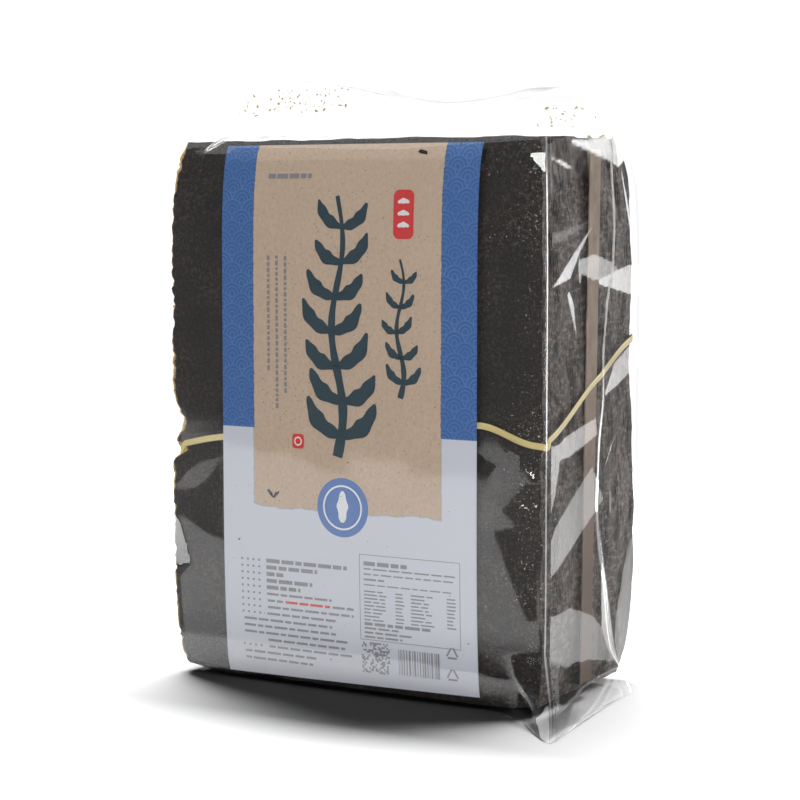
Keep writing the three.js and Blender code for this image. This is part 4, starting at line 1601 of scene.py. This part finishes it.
class LabelPrint(bpy.types.Operator):
    """Makes the print on the label: plain plants, seals, a badge and rows of small bars"""

    bl_idname = "nori_pack.print"
    bl_label = "Label print"

    def execute(self, context):
        """Makes the print."""
        s, c = context.scene.pack_sizes, context.scene.pack_colours
        out = s.label_out + PRINT_OUT
        teal, red = ink("Teal ink", c.ink_teal), ink("Red ink", c.ink_red)
        blue, white = ink("Blue ink", c.strip), ink("White ink", c.ink_white)
        grey = ink("Grey ink", c.ink_grey)
        groups = (
            ("print_plant", plant_strips(), out, teal),
            ("print_seal", [rounded_box(*seal) for seal in SEALS], out, red),
            ("print_badge", [rounded_box(*BADGE)], out, blue),
            ("print_white", white_marks(), out + PRINT_OVER, white),
            ("print_triangles", triangle_strips(), out, grey),
        )
        for name, strips, height, material in groups:
            parts = [label_slab(s, x, z, height, PRINT_THICK) for x, z in strips]
            hand_over(mesh_piece(name, *join_meshes(parts), material), "label")
        inks = {"grey": grey, "red": red}
        for kind, bars in print_bars().items():
            rows = np.array(bars) * MM
            places, turn, tilt = label_place(s, rows[:, 0], rows[:, 1], out)
            turns = columns(-tilt, np.zeros_like(turn), turn)
            sizes = columns(rows[:, 2], np.full(len(rows), PRINT_THICK), rows[:, 3])
            piece = shapes_at(f"print_{kind}", bar_shape(), places, turns, sizes, inks[kind])
            hand_over(piece, "label")
        return {"FINISHED"}


def tie_heights(s):
    """The straw's height above the floor at its turning points, by share of the way round."""
    total = sum(TIE_STEPS)
    first = dict(zip(PARTS, np.cumsum((0, *TIE_STEPS[:-1]))))
    steps = dict(zip(PARTS, TIE_STEPS))
    left, right = EDGE_RADIUS - s.bag_width / 2, s.bag_width / 2 - CREASE_RADIUS

    def share(part, t):
        return (first[part] + t * steps[part]) / total

    def front(x):
        return share("front", (x - left) / (right - left))

    return (
        (share("left_to_front", 0.5), 100 * MM),
        (share("front_left", 0.5), 113 * MM),
        (front(s.label_left), 123 * MM),
        (front(s.label_right), 136 * MM),
        (front(98 * MM), 128 * MM),
        (share("right_to_fold", 0), 130.6 * MM),
        (share("right_to_fold", 1), 156 * MM),
        (share("back_right", 0.5), 173 * MM),
        (share("back_left", 0.5), 124 * MM),
    )


def tie_height(s, share):
    """The straw's height at a share of the way round: a smooth closed curve."""
    knots = tie_heights(s)
    count = len(knots)

    def knot(i):
        turns, k = divmod(i, count)
        return knots[k][0] + turns, knots[k][1]

    def slope(i):
        (before, low), (after, high) = knot(i - 1), knot(i + 1)
        return (high - low) / (after - before)

    place = share + 1 if share < knots[0][0] else share
    i = max(k for k in range(count) if knot(k)[0] <= place)
    (start, low), (end, high) = knot(i), knot(i + 1)
    t = (place - start) / (end - start)
    rest = 1 - t
    bend = t * rest * (end - start) * (slope(i) * rest - slope(i + 1) * t)
    return low * rest**2 * (1 + 2 * t) + high * t**2 * (1 + 2 * rest) + bend


def tie_path(s):
    """Places along the straw on the bag's plan, and the way out of the bag at each."""
    ends = np.cumsum(TIE_STEPS)
    places = []
    for n in range(TIE_PLACES):
        share = n / TIE_PLACES
        step = share * ends[-1]
        part = int(np.searchsorted(ends, step, side="right"))
        t = (step - (ends[part] - TIE_STEPS[part])) / TIE_STEPS[part]
        shares = [np.full((1, 1), t if k == part else 0.0) for k in range(len(PARTS))]
        z = tie_height(s, share)
        x, y = plan_ring(s, np.array([[z]]), shares, FOLD_Y, FOLD_MID)
        places.append((x[0, part], y[0, part], z))
    places = np.array(places)
    run = np.roll(places, -1, axis=0) - np.roll(places, 1, axis=0)
    out = columns(run[:, 1], -run[:, 0], np.zeros(TIE_PLACES))
    return places, out / np.linalg.norm(out, axis=1, keepdims=True)


class StrawTie(bpy.types.Operator):
    """Makes the straw tie that goes once round the pack"""

    bl_idname = "nori_pack.tie"
    bl_label = "Straw tie"

    def execute(self, context):
        """Makes the tie."""
        s, c = context.scene.pack_sizes, context.scene.pack_colours
        places, out = tie_path(s)
        edges = [(i, (i + 1) % TIE_PLACES) for i in range(TIE_PLACES)]
        carrier = new_object("tie_straw", places - out * TIE_SUNK, edges)
        mark_points(carrier, "out", out)
        values = {"Width": s.tie_width, "Thickness": s.tie_thick, "Material": straw_material(c)}
        piece = run_tree(carrier, strap_tree(), values)
        piece.data.polygons.foreach_set("use_smooth", [True] * len(piece.data.polygons))
        hand_over(piece, "tie")
        return {"FINISHED"}


class NoriCrumbs(bpy.types.Operator):
    """Scatters crumbs of nori on and beside the label, and in the film above the block"""

    bl_idname = "nori_pack.crumbs"
    bl_label = "Nori crumbs"

    def execute(self, context):
        """Makes the crumbs."""
        s, c = context.scene.pack_sizes, context.scene.pack_colours
        rng = np.random.default_rng(CRUMB_SEED)
        dark, gold = bpy.data.materials["Nori"], thin_material("Golden crumbs", c.crumb)
        piece = shapes_at("crumbs_label", flake_shape(1), *self.label_crumbs(s, rng), dark, 0.3, 3)
        hand_over(piece, "bag")
        piece = shapes_at("crumbs_top", flake_shape(2), *self.top_crumbs(s, rng), gold, 0.4, 4)
        hand_over(piece, "bag")
        return {"FINISHED"}

    def label_crumbs(self, s, rng):
        """Places, turns and sizes of the crumbs on the label, the first two of which lie as a V."""
        count = LABEL_CRUMBS
        x = rng.uniform(s.label_left, s.sheet_right - 4 * MM, count)
        z = rng.uniform(12 * MM, 264 * MM, count)
        x[:3] = np.array(FIRST_CRUMBS_X) * MM
        z[:3] = np.array(FIRST_CRUMBS_Z) * MM
        places, turn, tilt = label_place(s, x, z, s.label_out + CRUMB_OUT)
        spin = rng.uniform(-math.pi, math.pi, count)
        spin[:2] = np.radians(VEE_TURNS)
        size = 0.55 * MM * rng.pareto(3.0, count).clip(0, 4)[:, None] + 0.45 * MM
        size[:3] = FIRST_CRUMB
        sizes = size * np.array(CRUMB_SHAPE)
        sizes[:2] = np.array(VEE_SIZE) * MM
        return places, columns(-tilt, spin, turn), sizes

    def top_crumbs(self, s, rng):
        """Places, turns and sizes of the crumbs under the film's ridge and at the block's back corner."""
        x = np.concatenate([rng.normal(*spot) for spot in TOP_SPOTS]) * MM
        rise = np.concatenate([rng.uniform(0.6, 0.93, LEFT_CRUMBS), rng.uniform(0.25, 0.7, RIGHT_CRUMBS)])
        y = rng.uniform(-0.85, 0.4, len(x)) * half_depth(s, s.block_height) * roof_depth(s, rise)
        z = s.block_height + rise * ridge_height(x) - 3 * MM * np.sin(math.pi * rise)
        count = CORNER_CRUMBS
        corner = columns(rng.uniform(90, 100, count), rng.uniform(18, 42, count), np.full(count, CORNER_Z))
        places = np.concatenate([columns(x, y, z), corner * MM])
        turns = rng.uniform(-math.pi, math.pi, places.shape)
        size = np.concatenate([rng.uniform(0.8, 2.2, len(x)), rng.uniform(2, 5, count)])
        return places, turns, size[:, None] * MM * np.array(TOP_SHAPE)


class FrayedEdges(bpy.types.Operator):
    """Lays frayed flakes of nori over the cut edges of the sheets at both sides"""

    bl_idname = "nori_pack.frayed_edges"
    bl_label = "Frayed edges"

    def execute(self, context):
        """Makes the flakes."""
        s, c = context.scene.pack_sizes, context.scene.pack_colours
        # The golden shreds' colour paints light shining through them, on top of the light their material
        # really lets through.
        dark, gold = bpy.data.materials["Nori"], thin_material("Golden rim", c.nori_backlit_rim)
        rng = np.random.default_rng(FRAY_SEED)
        sides = (("frays_right", s.sheet_right, FRAYS_RIGHT), ("frays_left", s.sheet_left, FRAYS_LEFT))
        for name, edge, count in sides:
            flakes = self.frays(s, rng, edge, count)
            hand_over(shapes_at(name, flake_shape(3), *flakes, dark, 0.2, 6), "bag")
        piece = shapes_at("fringe_left", flake_shape(4), *self.fringe(s, rng), gold, 0.3, 7)
        hand_over(piece, "bag")
        return {"FINISHED"}

    def frays(self, s, rng, edge, count):
        """Places, turns and sizes of flakes that lie flat against one side."""
        z = rng.uniform(6, 264, count) * MM
        y = rng.uniform(-1, 1, count) * (half_depth(s, z) - 4 * MM)
        x = drawn_in(s, np.full(count, edge) + rng.uniform(-0.8, 0.3, count) * MM, y, z)
        spin = rng.uniform(-math.pi, math.pi, count)
        lean, turn = rng.uniform(-0.2, 0.2, count), QUARTER + rng.uniform(-0.3, 0.3, count)
        size = (1 + 3 * rng.random((count, 1)) ** 2) * MM
        return columns(x, y, z), columns(lean, spin, turn), size * np.array(FRAY_SHAPE)

    def fringe(self, s, rng):
        """Places, turns and sizes of the golden shreds along the left edge of the front sheets."""
        z = rng.uniform(4, 266, FRINGE) * MM
        y = rng.uniform(3, 12, FRINGE) * MM - half_depth(s, z)
        x = drawn_in(s, np.full(FRINGE, s.sheet_left) + rng.uniform(-0.6, 1.1, FRINGE) * MM, y, z)
        turns = columns(*(rng.uniform(-limit, limit, FRINGE) for limit in (0.4, 3.1, 0.4)))
        size = rng.uniform(0.8, 2.6, (FRINGE, 1)) * MM
        return columns(x, y, z), turns, size * np.array(FRINGE_SHAPE)


class Studio(bpy.types.Operator):
    """Makes the floor, the light and the camera"""

    bl_idname = "nori_pack.studio"
    bl_label = "Studio"

    def execute(self, context):
        """Makes the stage."""
        left, right, near, far = -FLOOR_SIDE, FLOOR_SIDE, FLOOR_NEAR, FLOOR_FAR
        corners = [(left, near, 0), (right, near, 0), (right, far, 0), (left, far, 0)]
        floor = mesh_piece("floor", corners, [(0, 1, 2, 3)], floor_material(context.scene.pack_colours))
        self.world(context)
        for name, (place, aim, size, radiance, state) in LAMPS.items():
            lamp = self.lamp(name, place, aim, size, radiance)
            lamp.visible_diffuse = name != GLINT_LAMP
            if state is not None:
                self.only_lights(lamp, floor, state)
        self.camera(context)
        context.scene.view_settings.view_transform = "Standard"
        return {"FINISHED"}

    def only_lights(self, lamp, piece, state):
        """The lamp lights only the piece, or all but the piece."""
        group = bpy.data.collections.new(f"Lit by {lamp.name}")
        group.objects.link(piece)
        group.collection_objects[0].light_linking.link_state = state
        lamp.light_linking.receiver_collection = group

    def world(self, context):
        """White behind the pack, dark behind the camera."""
        world = bpy.data.worlds.new("Studio")
        context.scene.world = world
        world.use_nodes = True
        n = Nodes(world.node_tree)
        way = n.add("ShaderNodeTexCoord", out="Generated")
        behind = n.times(n.ramp(n.part(way, "Y"), -0.1, 0.45), SKY_BEHIND)
        above = n.times(n.ramp(n.part(way, "Z"), 0.35, 0.9), SKY_ABOVE)
        light = n.math("MAXIMUM", n.math("MAXIMUM", behind, above), SKY_LEAST)
        seen = n.add("ShaderNodeLightPath", out="Is Camera Ray")
        sky = world.node_tree.nodes["Background"].inputs
        n.put(sky["Strength"], n.math("MAXIMUM", light, seen))
        n.put(sky["Color"], WHITE)

    def lamp(self, name, place, aim, size, radiance):
        """A soft box of a given brightness."""
        data = bpy.data.lights.new(name, "AREA")
        data.shape = "RECTANGLE"
        data.size, data.size_y = size
        data.energy = radiance * math.pi * size[0] * size[1]
        lamp = bpy.data.objects.new(name, data)
        lamp.location = place
        lamp.rotation_euler = (Vector(aim) - Vector(place)).to_track_quat("-Z", "Y").to_euler()
        lamp.visible_camera = False
        bpy.context.scene.collection.objects.link(lamp)
        return lamp

    def camera(self, context):
        """The camera at the photograph's viewing angle."""
        data = bpy.data.cameras.new("camera")
        data.sensor_width = CAMERA_SENSOR
        data.lens = CAMERA_LENS
        camera = bpy.data.objects.new("camera", data)
        camera.location = CAMERA_PLACE
        camera.rotation_euler = (math.radians(90 - CAMERA_DOWN), 0.0, math.radians(CAMERA_ROUND))
        context.scene.collection.objects.link(camera)
        context.scene.camera = camera


class PackPanel(bpy.types.Panel):
    """Lists the steps that build the pack"""

    bl_idname = "VIEW3D_PT_nori_pack"
    bl_label = "Nori pack"
    bl_space_type = "VIEW_3D"
    bl_region_type = "UI"
    bl_category = "Nori pack"

    def draw(self, context):
        """Draws a button for each step and a field for each value."""
        for step in STEPS:
            self.layout.operator(step.bl_idname)
        for group in (context.scene.pack_sizes, context.scene.pack_colours):
            for name in group.__annotations__:
                self.layout.prop(group, name)


STEPS = (FilmBag, NoriSheets, FrayedEdges, PaperLabel, LabelPrint, StrawTie, NoriCrumbs, Studio)
CLASSES = (PackSizes, PackColours, *STEPS, PackPanel)


def register():
    """Registers the classes and the pack's values."""
    for item in CLASSES:
        bpy.utils.register_class(item)
    bpy.types.Scene.pack_sizes = PointerProperty(type=PackSizes)
    bpy.types.Scene.pack_colours = PointerProperty(type=PackColours)


def unregister():
    """Removes the classes and the pack's values."""
    del bpy.types.Scene.pack_colours
    del bpy.types.Scene.pack_sizes
    for item in reversed(CLASSES):
        bpy.utils.unregister_class(item)


def main():
    """Builds the pack step by step."""
    register()
    bpy.ops.nori_pack.film_bag()
    bpy.ops.nori_pack.sheets()
    bpy.ops.nori_pack.frayed_edges()
    bpy.ops.nori_pack.label()
    bpy.ops.nori_pack.print()
    bpy.ops.nori_pack.tie()
    bpy.ops.nori_pack.crumbs()
    bpy.ops.nori_pack.studio()


if __name__ == "__main__":
    main()
